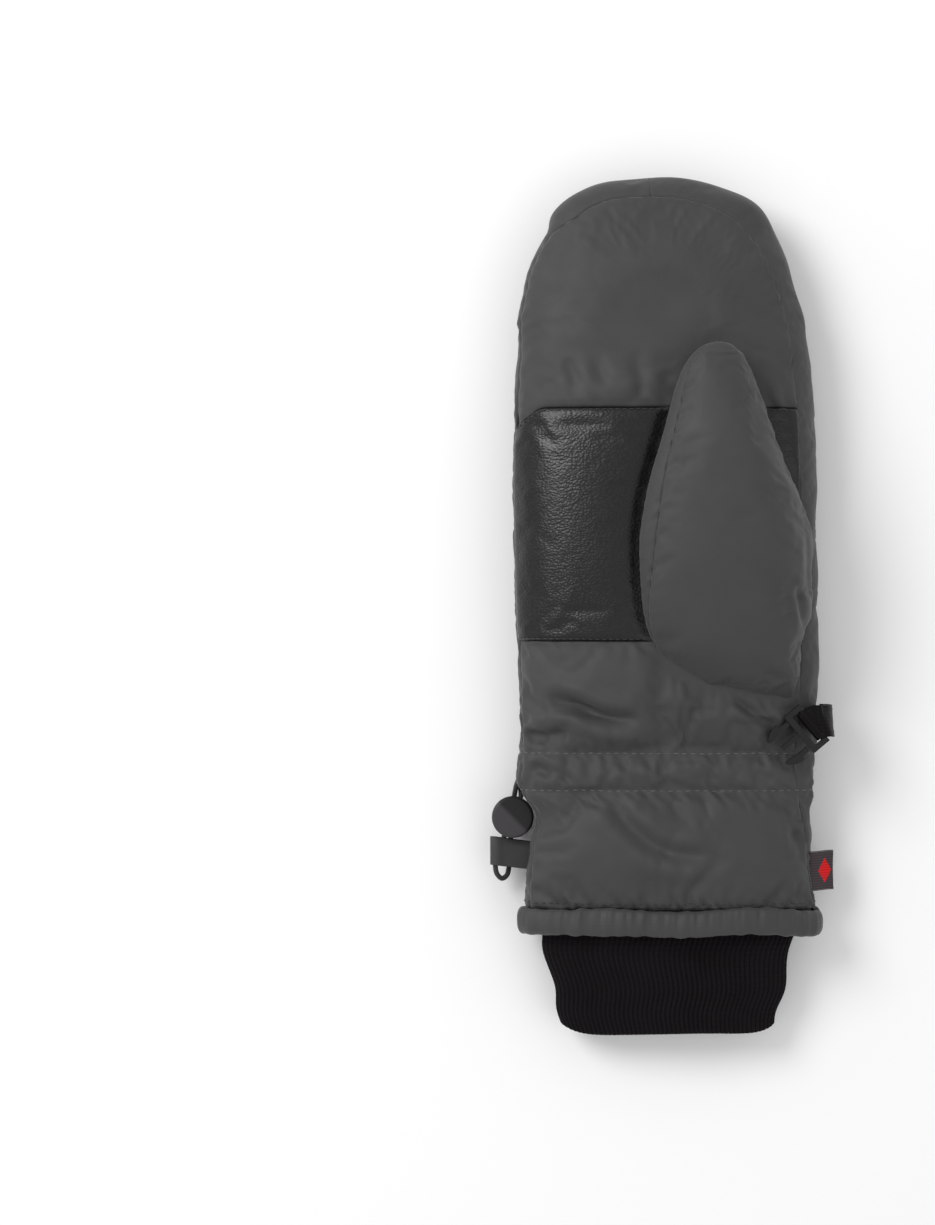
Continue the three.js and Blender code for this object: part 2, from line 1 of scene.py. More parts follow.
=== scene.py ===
import math

import bpy
import numpy as np
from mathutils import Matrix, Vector


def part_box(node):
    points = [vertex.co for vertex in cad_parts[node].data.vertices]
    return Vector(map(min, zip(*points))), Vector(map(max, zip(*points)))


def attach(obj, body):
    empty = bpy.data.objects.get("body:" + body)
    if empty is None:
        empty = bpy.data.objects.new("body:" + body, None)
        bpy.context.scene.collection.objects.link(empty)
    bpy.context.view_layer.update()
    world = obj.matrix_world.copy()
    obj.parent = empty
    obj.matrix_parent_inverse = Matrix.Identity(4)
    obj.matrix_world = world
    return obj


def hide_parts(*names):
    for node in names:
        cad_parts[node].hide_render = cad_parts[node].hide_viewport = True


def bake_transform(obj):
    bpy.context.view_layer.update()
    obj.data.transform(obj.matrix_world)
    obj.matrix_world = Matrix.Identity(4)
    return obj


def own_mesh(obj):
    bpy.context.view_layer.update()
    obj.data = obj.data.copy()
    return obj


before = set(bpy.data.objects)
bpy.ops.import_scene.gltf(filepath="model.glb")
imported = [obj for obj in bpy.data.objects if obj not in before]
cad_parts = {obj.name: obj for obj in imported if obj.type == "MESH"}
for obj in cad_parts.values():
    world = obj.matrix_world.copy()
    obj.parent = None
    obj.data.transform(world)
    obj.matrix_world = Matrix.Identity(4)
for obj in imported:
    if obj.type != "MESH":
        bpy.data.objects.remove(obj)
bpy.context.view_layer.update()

MM = 0.001


def cad_box(node):
    """The lowest and highest corner of a CAD node, in millimetres."""
    low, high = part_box(node)
    return np.array(low) / MM, np.array(high) / MM


# ------------------------------------------------------------------ driving dimensions, in millimetres
PIXEL = 0.39  # what a pixel of the 935 x 1225 frame covers at the mitten
FRAME_TALL = 1225 * PIXEL
VIEW_LEFT = 75.7  # the camera looks down this far to the left of the mitten's middle
VIEW_LOW = 2.1  # and this far towards the cuff
LENS = 100.0
SENSOR = 36.0

MIDDLE = 18.0  # the level of the outline
BULGE = 2.6  # power of the superellipse of a cross-section
STEP = 2.4  # spacing of the body's grid
PALM_ROWS, SIDE_ROWS, BACK_ROWS = 24, 12, 24
HEM_Y = -117.0
WRIST_LOW_Y = -71.0
WRIST_HIGH_Y = -56.6
PATCH_LOW_Y = -13.3
PATCH_HIGH_Y = 77.0
POLE = (-1.0, 108.0)  # the rounded tip is drawn round this point
TIP_SEAM_ANGLE = 94.0
CORNER_CUT = 7.0  # the leather's upper corner on the little-finger side slants down this far
FABRIC, LEATHER = 0.8, 1.0
SEAM_ALLOWANCE = 1.5
MOST_LOOSE = 0.05  # fabric is cut up to this share too large

# The outline on the straight part: Y, left, right.
OUTLINE = np.array([
    (-117, -53.0, 59.6), (-104, -52.4, 58.3), (-92, -51.0, 57.5), (-81, -49.4, 57.9), (-74, -53.4, 58.6),
    (-69, -56.2, 59.0), (-62, -56.0, 59.6), (-45, -55.4, 60.3), (-20, -56.0, 60.7), (0, -56.8, 60.5),
    (30, -57.5, 60.0), (60, -57.8, 59.8), (80, -57.0, 58.8), (96, -56.4, 57.4), (108, -55.8, 55.8),
])
# The rounded tip: angle round the pole from the thumb side, radius, how far the palm seam lies inside it.
TIP = np.array([
    (0, 56.8, 7.8), (14, 55.0, 6.9), (26, 55.4, 8.4), (38, 58.4, 10.2), (50, 61.2, 11.4), (66, 60.5, 10.2),
    (82, 59.4, 8.8), (98, 59.2, 8.0), (116, 62.0, 8.4), (128, 61.9, 8.2), (134, 61.0, 6.0), (139, 58.4, 2.0),
    (145, 57.0, 1.0), (156, 56.0, 0.9), (168, 54.9, 0.9), (180, 54.8, 0.9),
])
# The palm's and the back's level along the middle: Y, palm, back.
LEVELS = np.array([
    (-117, 33.5, -1.0), (-100, 34.8, -1.5), (-84, 34.0, -1.0), (-71, 32.0, 0.5), (-64, 32.6, 1.5),
    (-56.6, 32.0, 0.5), (-42, 36.0, -1.5), (-20, 39.0, -2.0), (0, 40.0, -2.0), (60, 40.5, -2.0),
    (90, 39.5, -2.0), (108, 38.5, -2.0),
])
# How far the palm seam lies inside the outline: Y, on the little-finger side and on the thumb side.
PALM_SEAM = np.array([
    (-117, 1.2, 1.0), (-94, 1.2, 1.2), (-86, 1.2, 2.8), (-71, 1.2, 6.8), (-60, 1.2, 9.0), (-40, 0.6, 8.0),
    (0, 0.5, 7.6), (70, 0.5, 7.4), (108, 0.9, 7.8),
])
BACK_SEAM = 3.0


# ------------------------------------------------------------------ numbers
def through(table, x, column=1):
    """A smooth curve through a table's points, by its first column."""
    xs, ys = table[:, 0].astype(float), table[:, column].astype(float)
    slopes = np.gradient(ys, xs)
    x = np.clip(np.asarray(x, float), xs[0], xs[-1])
    i = np.clip(np.searchsorted(xs, x, side="right") - 1, 0, len(xs) - 2)
    width = xs[i + 1] - xs[i]
    t = (x - xs[i]) / width
    return ((2 * t**3 - 3 * t**2 + 1) * ys[i] + (t**3 - 2 * t**2 + t) * width * slopes[i]
            + (3 * t**2 - 2 * t**3) * ys[i + 1] + (t**3 - t**2) * width * slopes[i + 1])


def run_along(path):
    """Distance along a path from its first point to each of its points."""
    return np.r_[0, np.cumsum(np.linalg.norm(np.diff(path, axis=0), axis=1))]


def at_length(path, distance):
    """Points at given distances along a path."""
    run = run_along(path)
    return np.column_stack([np.interp(distance, run, column) for column in path.T])


def smooth_line(points, count):
    """A smooth line through points, as count points at even steps."""
    points = np.asarray(points, float)
    run = run_along(points)
    fine = np.linspace(0, run[-1], 12 * len(points))
    line = np.column_stack([through(np.column_stack([run, column]), fine) for column in points.T])
    return at_length(line, np.linspace(0, run_along(line)[-1], count))


def spread(marks, counts):
    """Even steps from each mark to the next, as many as counts says, and the last mark."""
    spans = [np.linspace(a, b, n, endpoint=False) for a, b, n in zip(marks, marks[1:], counts)]
    return np.r_[np.concatenate(spans), marks[-1]]


def squared(value, power):
    """A sine or cosine bent towards a square's, with its sign kept."""
    return np.sign(value) * np.abs(value) ** power


def unit(vectors):
    return vectors / np.maximum(np.linalg.norm(vectors, axis=-1, keepdims=True), 1e-9)


def fade(distance, reach):
    """1 at distance 0, falling smoothly towards 0 at a few reaches."""
    return np.exp(-(np.abs(distance) / reach) ** 2)


def step_up(x, low, high):
    """0 below low, 1 above high, smooth between."""
    t = np.clip((x - low) / (high - low), 0, 1)
    return t * t * (3 - 2 * t)


def ripple(x, pitch, seed, waves=7):
    """An even-tempered random wave along x, about one crest for each pitch."""
    rng = np.random.default_rng(seed)
    total = np.zeros(np.shape(x))
    for _ in range(waves):
        length = pitch * rng.uniform(0.65, 1.7)
        total += np.sin(2 * np.pi * np.asarray(x) / length + rng.uniform(0, 2 * np.pi))
    return total / math.sqrt(waves / 2)


def swell(points, size, seed, waves=10):
    """A smooth random field in space, about size across from crest to crest."""
    rng = np.random.default_rng(seed)
    total = np.zeros(points.shape[:-1])
    for _ in range(waves):
        heading = rng.normal(size=3)
        heading /= np.linalg.norm(heading)
        length = size * rng.uniform(0.7, 1.5)
        total += np.sin(points @ heading * 2 * np.pi / length + rng.uniform(0, 2 * np.pi))
    return total / math.sqrt(waves / 2)


def to_segment(points, a, b):
    """How far each point lies from a segment in plan, and the share of it that is passed there."""
    along = b - a
    t = np.clip(((points[..., :2] - a) @ along) / max(along @ along, 1e-9), 0, 1)
    return np.linalg.norm(points[..., :2] - a - t[..., None] * along, axis=-1), t


def line_distance(points, line):
    """How far each point lies from a polyline in plan."""
    line = np.asarray(line, float)
    return np.minimum.reduce([to_segment(points, a, b)[0] for a, b in zip(line[:-1], line[1:])])


# ------------------------------------------------------------------ grids of points
def grid_normals(grid, closed_rows=False):
    """Unit normals of a grid, from its two directions."""
    if closed_rows:
        along = np.roll(grid, -1, axis=1) - np.roll(grid, 1, axis=1)
    else:
        along = np.gradient(grid, axis=1)
    return unit(np.cross(np.gradient(grid, axis=0), along))


def finer(grid, axis=0, closed=False):
    """The grid with a point added halfway between each two, on a smooth curve through four."""
    grid = np.moveaxis(grid, axis, 0)
    if closed:
        padded = np.concatenate([grid[-1:], grid, grid[:2]])
    else:
        padded = np.concatenate([2 * grid[:1] - grid[1:2], grid, 2 * grid[-1:] - grid[-2:-1]])
    middle = (padded[1:-2] + padded[2:-1]) / 2
    bow = (padded[1:-2] + padded[2:-1] - padded[:-3] - padded[3:]) / 16
    most = 0.12 * np.linalg.norm(padded[2:-1] - padded[1:-2], axis=-1, keepdims=True)
    size = np.linalg.norm(bow, axis=-1, keepdims=True)
    halfway = middle + bow * np.minimum(1, most / np.maximum(size, 1e-9))
    out = np.empty((len(grid) + len(halfway), *grid.shape[1:]))
    out[0::2] = grid
    out[1::2] = halfway
    return np.moveaxis(out, 0, axis)


def grid_faces(columns, rows, wrap_columns=False, wrap_rows=False):
    """The quads of a grid whose points are numbered column by column."""
    c = np.arange(columns if wrap_columns else columns - 1)
    r = np.arange(rows if wrap_rows else rows - 1)
    c, r = (a.ravel() for a in np.meshgrid(c, r, indexing="ij"))
    c2, r2 = (c + 1) % columns, (r + 1) % rows
    return np.column_stack([c * rows + r, c2 * rows + r, c2 * rows + r2, c * rows + r2])


def mesh_from(points, faces, name, uv=None):
    """A mesh in metres from points in millimetres, with points that coincide joined."""
    _, first, index = np.unique(np.round(points, 4), axis=0, return_index=True, return_inverse=True)
    index = index.reshape(-1)
    kept, corners = [], []
    for face in faces:
        joined, used = [], []
        for p in face:
            if index[p] not in joined:
                joined.append(int(index[p]))
                used.append(p)
        if len(joined) > 2:
            kept.append(joined)
            corners.extend(used)
    mesh = bpy.data.meshes.new(name)
    mesh.from_pydata((points[first] * MM).tolist(), [], kept)
    if uv is not None:
        layer = mesh.uv_layers.new(name="Cloth")
        layer.data.foreach_set("uv", (uv[corners] * MM).astype(np.float32).ravel())
    mesh.shade_smooth()
    mesh.validate()
    return mesh, index, first


def add_piece(name, mesh, material, body, replaced=()):
    """A mesh object that rides on a CAD body and may stand for CAD nodes."""
    obj = bpy.data.objects.new(name, mesh)
    bpy.context.scene.collection.objects.link(obj)
    mesh.materials.append(material)
    if body:
        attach(obj, body)
    if replaced:
        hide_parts(*replaced)
    return obj


def grid_piece(name, grid, material, body, replaced=(), slot=None, uv=None, flip=False, **wrap):
    """A piece from one grid of points."""
    faces = grid_faces(*grid.shape[:2], **wrap)
    if flip:
        faces = faces[:, ::-1]
    mesh, _, _ = mesh_from(grid.reshape(-1, 3), faces, name, None if uv is None else uv.reshape(-1, 2))
    return add_piece(name, mesh, material, body, replaced)


def thicken(obj, thickness, offset=-1.0):
    """Gives a sheet its fabric's thickness: inwards, or to both sides with offset 0."""
    solidify = obj.modifiers.new("fabric", "SOLIDIFY")
    solidify.thickness = thickness * MM
    solidify.offset = offset
    solidify.use_even_offset = False
    return obj


def flat_layout(run, across):
    """A strip laid flat: the distance along it and the distance across it at each point of its grid."""
    return np.stack(np.meshgrid(run, across, indexing="ij"), -1)


# ------------------------------------------------------------------ camera, light and floor
def make_camera():
    """Looks straight down, from as far to the left of the mitten as the photo does."""
    camera = bpy.data.cameras.new("camera")
    camera.lens = LENS
    camera.sensor_width = SENSOR
    camera.clip_end = 20
    obj = bpy.data.objects.new("camera", camera)
    height = MIDDLE + FRAME_TALL * LENS / SENSOR
    obj.location = Vector((-VIEW_LEFT, -VIEW_LOW, height)) * MM
    bpy.context.scene.collection.objects.link(obj)
    bpy.context.scene.camera = obj


def make_light(name, place, size, power):
    """A round lamp that faces the mitten."""
    light = bpy.data.lights.new(name, "AREA")
    light.shape = "DISK"
    light.size = size
    light.energy = power
    obj = bpy.data.objects.new(name, light)
    obj.location = place
    obj.rotation_euler = (-Vector(place)).to_track_quat("-Z", "Y").to_euler()
    bpy.context.scene.collection.objects.link(obj)


def make_stage():
    """A white table under an even sky, with one strong lamp beyond the fingertips and a weak one opposite."""
    scene = bpy.context.scene
    scene.view_settings.view_transform = "Standard"
    world = bpy.data.worlds.new("studio")
    scene.world = world
    world.use_nodes = True
    background = world.node_tree.nodes["Background"]
    background.inputs["Color"].default_value = (1, 1, 1, 1)
    background.inputs["Strength"].default_value = 0.68
    make_light("key", (-0.8, 0.55, 1.0), 0.7, 9.5)
    make_light("fill", (0.9, -0.5, 1.3), 1.2, 2.0)

    material = bpy.data.materials.new("floor")
    material.use_nodes = True
    shader = material.node_tree.nodes["Principled BSDF"]
    shader.inputs["Base Color"].default_value = (0.97, 0.97, 0.97, 1)
    shader.inputs["Roughness"].default_value = 0.9
    bpy.ops.mesh.primitive_plane_add(size=12, location=(0, 0, -0.0004))
    floor = bpy.context.object
    floor.name = "floor"
    floor.data.materials.append(material)


# ------------------------------------------------------------------ materials
class Shader:
    """A node material, with short ways to add what most finishes need."""

    def __init__(self, name, color, roughness, **sockets):
        self.material = bpy.data.materials.new(name)
        self.material.use_nodes = True
        self.nodes = self.material.node_tree.nodes
        self.links = self.material.node_tree.links
        self.shader = self.nodes["Principled BSDF"]
        self.color = (*color, 1)
        self.shader.inputs["Base Color"].default_value = self.color
        self.shader.inputs["Roughness"].default_value = roughness
        for socket, value in sockets.items():
            self.shader.inputs[socket.replace("_", " ")].default_value = value
        self.place = self.nodes.new("ShaderNodeTexCoord")

    def texture(self, kind, scale, space="Object", stretch=(1, 1, 1), **settings):
        mapping = self.nodes.new("ShaderNodeMapping")
        mapping.inputs["Scale"].default_value = stretch
        self.links.new(self.place.outputs[space], mapping.inputs["Vector"])
        node = self.nodes.new(kind)
        node.inputs["Scale"].default_value = scale
        for key, value in settings.items():
            if key in node.inputs:
                node.inputs[key].default_value = value
            else:
                setattr(node, key, value)
        self.links.new(mapping.outputs["Vector"], node.inputs["Vector"])
        return node

    def ramp(self, source, low, high, at=(0.3, 0.7)):
        node = self.nodes.new("ShaderNodeValToRGB")
        for element, color, position in zip(node.color_ramp.elements, (low, high), at):
            element.color = (*color, 1) if len(color) == 3 else color
            element.position = position
        self.links.new(source, node.inputs["Fac"])
        return node.outputs["Color"]

    def math(self, kind, *values):
        node = self.nodes.new("ShaderNodeMath")
        node.operation = kind
        for socket, value in zip(node.inputs, values):
            if hasattr(value, "default_value"):
                self.links.new(value, socket)
            else:
                socket.default_value = value
        return node.outputs[0]

    def mix(self, factor, a, b, blend="MIX"):
        node = self.nodes.new("ShaderNodeMix")
        node.data_type = "RGBA"
        node.blend_type = blend
        for socket, value in zip((node.inputs[0], node.inputs[6], node.inputs[7]), (factor, a, b)):
            if hasattr(value, "default_value"):
                self.links.new(value, socket)
            else:
                socket.default_value = value
        return node.outputs[2]

    def noise(self, size, detail, roughness=0.5, **settings):
        """Noise whose patches are about size millimetres across."""
        kind = "ShaderNodeTexNoise"
        node = self.texture(kind, 1 / (size * MM), Detail=detail, Roughness=roughness, **settings)
        return node.outputs["Fac"]

    def wave(self, pitch, direction, space="UV", **settings):
        """Soft stripes that repeat every two threads, each pitch millimetres wide."""
        scale = 0.5 / (pitch * MM) / math.pi
        node = self.texture("ShaderNodeTexWave", scale, space, bands_direction=direction, **settings)
        return node.outputs["Fac"]

    def mottle(self, size, amount, seed=0.0):
        """Lets the colour drift a little over patches of size millimetres."""
        noise = self.noise(size, 3.0, 0.6, noise_dimensions="4D", W=seed)
        dark = tuple(c * (1 - amount) for c in self.color[:3])
        light = tuple(min(1, c * (1 + amount)) for c in self.color[:3])
        return self.ramp(noise, dark, light)

    def set_color(self, source):
        self.links.new(source, self.shader.inputs["Base Color"])

    def set_roughness(self, source, low, high):
        span = self.nodes.new("ShaderNodeMapRange")
        span.inputs["To Min"].default_value = low
        span.inputs["To Max"].default_value = high
        self.links.new(source, span.inputs["Value"])
        self.links.new(span.outputs[0], self.shader.inputs["Roughness"])

    def bump(self, *layers):
        """Each layer is (height, strength, depth in millimetres)."""
        before = None
        for height, strength, depth in layers:
            node = self.nodes.new("ShaderNodeBump")
            node.inputs["Strength"].default_value = strength
            node.inputs["Distance"].default_value = depth * MM
            self.links.new(height, node.inputs["Height"])
            if before:
                self.links.new(before, node.inputs["Normal"])
            before = node.outputs["Normal"]
        self.links.new(before, self.shader.inputs["Normal"])

    def weave(self, pitch):
        """The warp and weft of a plain weave, as two crossed waves."""
        return self.math("MULTIPLY", *(self.wave(pitch, direction, Distortion=0.35, Detail=1.0)
                                       for direction in ("X", "Y")))

    def split(self, space):
        """The three parts of a place, as sockets."""
        node = self.nodes.new("ShaderNodeSeparateXYZ")
        self.links.new(self.place.outputs[space], node.inputs[0])
        return node.outputs


def shell_fabric():
    s = Shader("shell_fabric", (0.038, 0.038, 0.0385), 0.66, Sheen_Weight=0.12, Sheen_Roughness=0.45)
    weave = s.weave(0.42)
    s.set_color(s.mix(0.16, s.mottle(28, 0.1), s.ramp(weave, (0.026, 0.026, 0.0265), (0.052, 0.052, 0.053))))
    crumple = s.noise(9, 4.0, 0.55)
    s.set_roughness(crumple, 0.56, 0.76)
    s.bump((crumple, 0.35, 0.5), (weave, 0.3, 0.12))
    return s.material


def lining_fabric():
    s = Shader("lining_fabric", (0.025, 0.025, 0.027), 0.85, Sheen_Weight=0.3)
    fuzz = s.noise(0.9, 4.0)
    s.set_color(s.mottle(12, 0.25, 3.0))
    s.bump((fuzz, 0.5, 0.3))
    return s.material


def fibre_fill():
    s = Shader("fibre_fill", (0.69, 0.69, 0.66), 0.95)
    fibre = s.noise(2.5, 6.0, 0.7)
    s.set_color(s.mottle(15, 0.12, 5.0))
    s.bump((fibre, 0.8, 0.8))
    return s.material


def rib_knit():
    s = Shader("rib_knit", (0.0058, 0.0044, 0.0054), 0.95, Sheen_Weight=0.02, Sheen_Roughness=0.6)
    s.shader.inputs["Specular IOR Level"].default_value = 0.12
    rows = s.wave(1.1, "Y", Distortion=1.2, Detail=2.0)
    fuzz = s.noise(0.7, 5.0, 0.7)
    drift = s.mottle(9, 0.35, 1.0)
    s.set_color(s.mix(0.5, drift, s.ramp(fuzz, (0.003, 0.0022, 0.0027), (0.0105, 0.0078, 0.0095))))
    s.bump((rows, 0.5, 0.25), (fuzz, 0.55, 0.25))
    return s.material


def pebbled_leather():
    s = Shader("pebbled_leather", (0.0065, 0.0056, 0.0062), 0.34, Specular_IOR_Level=0.42)
    cells = s.texture("ShaderNodeTexVoronoi", 1 / (1.1 * MM), stretch=(1.0, 1.35, 1.0), feature="SMOOTH_F1")
    cells.inputs["Smoothness"].default_value = 0.35
    cells.inputs["Randomness"].default_value = 1.0
    fine = s.noise(0.7, 3.0)
    drift = s.noise(14, 2.0)
    valley = s.ramp(cells.outputs["Distance"], (0.0085, 0.0072, 0.008), (0.003, 0.0026, 0.003), (0.25, 0.75))
    s.set_color(s.mix(0.35, valley, s.mottle(16, 0.3, 2.0)))
    s.set_roughness(drift, 0.26, 0.4)
    height = s.math("SUBTRACT", 1.0, cells.outputs["Distance"])
    s.bump((drift, 0.25, 0.6), (height, 0.5, 0.24), (fine, 0.15, 0.05))
    return s.material


def emblem_rubber():
    s = Shader("emblem_rubber", (0.045, 0.038, 0.043), 0.6)
    grain = s.noise(0.8, 3.0)
    s.set_color(s.mottle(10, 0.15, 7.0))
    s.bump((grain, 0.3, 0.1))
    return s.material


def webbing():
    s = Shader("webbing", (0.007, 0.0058, 0.0066), 0.4, Specular_IOR_Level=0.08)
    weave = s.weave(0.7)
    drift = s.mottle(6, 0.12, 4.0)
    s.set_color(s.mix(0.4, drift, s.ramp(weave, (0.0035, 0.003, 0.0034), (0.011, 0.0095, 0.0105))))
    s.bump((weave, 0.5, 0.15))
    return s.material


def black_plastic():
    s = Shader("black_plastic", (0.0055, 0.005, 0.0062), 0.36, Specular_IOR_Level=0.36)
    grain = s.noise(0.5, 2.0)
    wear = s.noise(5, 3.0)
    s.set_color(s.mottle(4, 0.12, 6.0))
    s.set_roughness(wear, 0.28, 0.46)
    s.bump((grain, 0.12, 0.05))
    return s.material


def disc_plastic():
    """The lock's button, with painted light: its colour is lighter on the lower-left slope of its ridge
    (painted highlight) and darker on the upper-right one (painted shade).
    """
    s = Shader("disc_plastic", (0.02, 0.0185, 0.0205), 0.5, Specular_IOR_Level=0.36)
    split = s.split("Object")
    slope = s.math("ADD", split["X"], split["Y"])
    share = s.math("MULTIPLY_ADD", slope, 1 / (4 * MM), 0.5 - sum(LOCK) / 4)
    # painted highlight and painted shade: light colour towards the lower left, dark towards the upper right
    s.set_color(s.ramp(share, (0.04, 0.037, 0.04), (0.0065, 0.006, 0.007), (0.2, 0.8)))
    grain = s.noise(0.5, 2.0)
    s.set_roughness(grain, 0.42, 0.56)
    s.bump((grain, 0.15, 0.05))
    return s.material


def braided_cord():
    s = Shader("braided_cord", (0.02, 0.019, 0.021), 0.7, Sheen_Weight=0.2)
    braid = s.texture("ShaderNodeTexVoronoi", 1 / (0.55 * MM))
    s.set_color(s.ramp(braid.outputs["Distance"], (0.03, 0.028, 0.031), (0.01, 0.0095, 0.0105)))
    s.bump((braid.outputs["Distance"], 0.6, 0.15))
    return s.material


def thread(name, color):
    s = Shader(name, color, 0.6, Sheen_Weight=0.2)
    twist = s.wave(0.25, "DIAGONAL", "Object")
    s.set_color(s.mottle(3, 0.2, 8.0))
    s.bump((twist, 0.4, 0.06))
    return s.material


def spring_steel():
    s = Shader("spring_steel", (0.32, 0.32, 0.33), 0.32, Metallic=1.0)
    drawn = s.noise(0.4, 2.0)
    s.set_roughness(drawn, 0.25, 0.42)
    s.bump((drawn, 0.1, 0.02))
    return s.material


# ------------------------------------------------------------------ the hand's form
def stations():
    """Y of the grid's columns on the straight part, with one on each cross seam."""
    marks = [HEM_Y, WRIST_LOW_Y, WRIST_HIGH_Y, PATCH_LOW_Y, PATCH_HIGH_Y, POLE[1]]
    return spread(marks, [max(1, round((b - a) / STEP)) for a, b in zip(marks, marks[1:])])


STATIONS = stations()
FAN = np.linspace(180, 0, 83)[1:-1]  # angles of the columns round the tip


def profile(reach, palm, back, palm_seam):
    """One column from mid-palm round the side to mid-back: each row's share of reach, and its level."""
    angle = np.radians(np.linspace(90, -90, 241))
    out = squared(np.cos(angle), 2 / BULGE)
    up = squared(np.sin(angle), 2 / BULGE)
    level = MIDDLE + np.where(up > 0, (palm - MIDDLE) * up, (MIDDLE - back) * up)
    along = np.r_[0, np.cumsum(np.hypot(np.diff(out * reach), np.diff(level)))]

    def seam_at(inset, sign):
        turn = math.degrees(math.acos((1 - inset / reach) ** (BULGE / 2))) * sign
        return np.interp(turn, np.degrees(angle)[::-1], along[::-1])

    marks = [0, seam_at(palm_seam, 1), seam_at(BACK_SEAM, -1), along[-1]]
    at = spread(marks, (PALM_ROWS, SIDE_ROWS, BACK_ROWS))
    return np.interp(at, along, out), np.interp(at, along, level)


def straight_edge(y, side):
    """A column on the straight part: its middle and its edge in plan, and how far in its palm seam lies."""
    left, right = through(OUTLINE, y, 1), through(OUTLINE, y, 2)
    edge = np.array([left if side < 0 else right, y])
    seam = np.interp(y, PALM_SEAM[:, 0], PALM_SEAM[:, 1 if side < 0 else 2])
    return np.array([(left + right) / 2, y]), edge, seam


def tip_edge(degrees):
    """The same for a column of the rounded tip, at an angle round the pole."""
    turn = math.radians(degrees)
    edge = np.array(POLE) + through(TIP, degrees) * np.array([math.cos(turn), math.sin(turn)])
    seam = np.interp(degrees, TIP[:, 0], TIP[:, 2])
    return np.array([(OUTLINE[-1, 1] + OUTLINE[-1, 2]) / 2, POLE[1]]), edge, seam


def hand_grid():
    """Columns go up the little-finger side, round the tip and down the thumb side; rows from palm to back."""
    edges = [straight_edge(y, -1) for y in STATIONS]
    edges += [tip_edge(degrees) for degrees in FAN]
    edges += [straight_edge(y, 1) for y in STATIONS[::-1]]
    columns = []
    for centre, edge, seam in edges:
        palm, back = (float(through(LEVELS, centre[1], k)) for k in (1, 2))
        share, level = profile(float(np.linalg.norm(edge - centre)), palm, back, float(seam))
        columns.append(np.column_stack([centre + share[:, None] * (edge - centre), level]))
    return np.array(columns)


def table_floor(grid):
    """Nothing goes below the table: what would is flattened within the lowest millimetre."""
    grid = grid.copy()
    level = grid[..., 2]
    grid[..., 2] = np.where(level < 1, np.exp(np.minimum(level - 1, 0)), level)
    return grid


# ------------------------------------------------------------------ cloth
CLOTH_FRAMES = 10
CLOTH_SETTINGS = {
    "quality": 5, "mass": 0.003, "tension_stiffness": 10, "compression_stiffness": 10, "shear_stiffness": 3,
    "bending_stiffness": 0.3, "vertex_group_mass": "held", "pin_stiffness": 1.0,
    "vertex_group_shrink": "tight", "shrink_min": -MOST_LOOSE, "shrink_max": 0.0, "use_pressure": True,
}


def weigh(obj, name, weights):
    """A vertex group with a weight for each of the mesh's points."""
    group = obj.vertex_groups.new(name=name)
    for i, weight in enumerate(np.clip(weights, 0, 1)):
        group.add([i], float(weight), "REPLACE")


def run_cloth(obj, pressure):
    """Where the object's points lie after the simulation, in metres."""
    cloth = obj.modifiers.new("cloth", "CLOTH")
    for key, value in CLOTH_SETTINGS.items():
        setattr(cloth.settings, key, value)
    cloth.settings.uniform_pressure_force = pressure
    cloth.settings.effector_weights.gravity = 0
    cloth.point_cache.frame_start = 1
    cloth.point_cache.frame_end = CLOTH_FRAMES
    for number in range(1, CLOTH_FRAMES + 1):
        bpy.context.scene.frame_set(number)
    settled = obj.evaluated_get(bpy.context.evaluated_depsgraph_get()).data
    moved = np.empty(3 * len(settled.vertices), np.float32)
    settled.vertices.foreach_get("co", moved)
    return moved.reshape(-1, 3)


def simulate(name, grid, held, loose, pressure, cap, **wrap):
    """Lets fabric that is cut a little too large swell and pucker between the places that hold it."""
    flat = grid.reshape(-1, 3)
    mesh, index, first = mesh_from(flat, grid_faces(*grid.shape[:2], **wrap), name)
    obj = bpy.data.objects.new(name, mesh)
    bpy.context.scene.collection.objects.link(obj)
    weigh(obj, "held", held.reshape(-1)[first])
    weigh(obj, "tight", (1 - loose).reshape(-1)[first])
    shift = run_cloth(obj, pressure) / MM - flat[first]
    bpy.data.objects.remove(obj)
    bpy.context.scene.frame_set(1)
    length = np.linalg.norm(shift, axis=1, keepdims=True)
    shift *= cap * np.tanh(length / cap) / np.maximum(length, 1e-9)
    return grid + shift[index].reshape(grid.shape)


def lengths(grid, axis):
    """Distance along a grid's lines from their first point."""
    steps = np.linalg.norm(np.diff(grid, axis=axis), axis=2)
    shape = list(grid.shape[:2])
    shape[axis] = 1
    return np.concatenate([np.zeros(shape), np.cumsum(steps, axis=axis)], axis=axis)


def crease(points, line, depth, width):
    """How far a fold pushes each point in: a valley along a line, with a low ridge beside it."""
    line = smooth_line(line, 14)
    nearest = np.full(points.shape[:-1], 1e9)
    share = np.zeros(points.shape[:-1])
    for k, (a, b) in enumerate(zip(line[:-1], line[1:])):
        gap, t = to_segment(points, a, b)
        share = np.where(gap < nearest, (k + t) / (len(line) - 1), share)
        nearest = np.minimum(nearest, gap)
    ends = np.clip(4 * share * (1 - share), 0, 1) ** 0.6
    return -depth * ends * (fade(nearest, width) - 0.5 * fade(nearest - 2.1 * width, 1.2 * width))


def border(grid, axis, last):
    """A grid's first or last line along an axis, itself a grid."""
    keep = [slice(None), slice(None)]
    keep[axis] = slice(-1, None) if last else slice(0, 1)
    return grid[tuple(keep)]


def with_line(grid, line, axis, last):
    """A grid with a line added to one of its edges."""
    return np.concatenate((grid, line) if last else (line, grid), axis=axis)


def tuck(grid, normals, flat, axis, last):
    """Adds a line to one edge of a panel, turned in under it as a seam allowance is."""
    edges = [border(field, axis, last) for field in (grid, normals, flat)]
    edges[0] = edges[0] - SEAM_ALLOWANCE * edges[1]
    return [with_line(field, edge, axis, last) for field, edge in zip((grid, normals, flat), edges)]


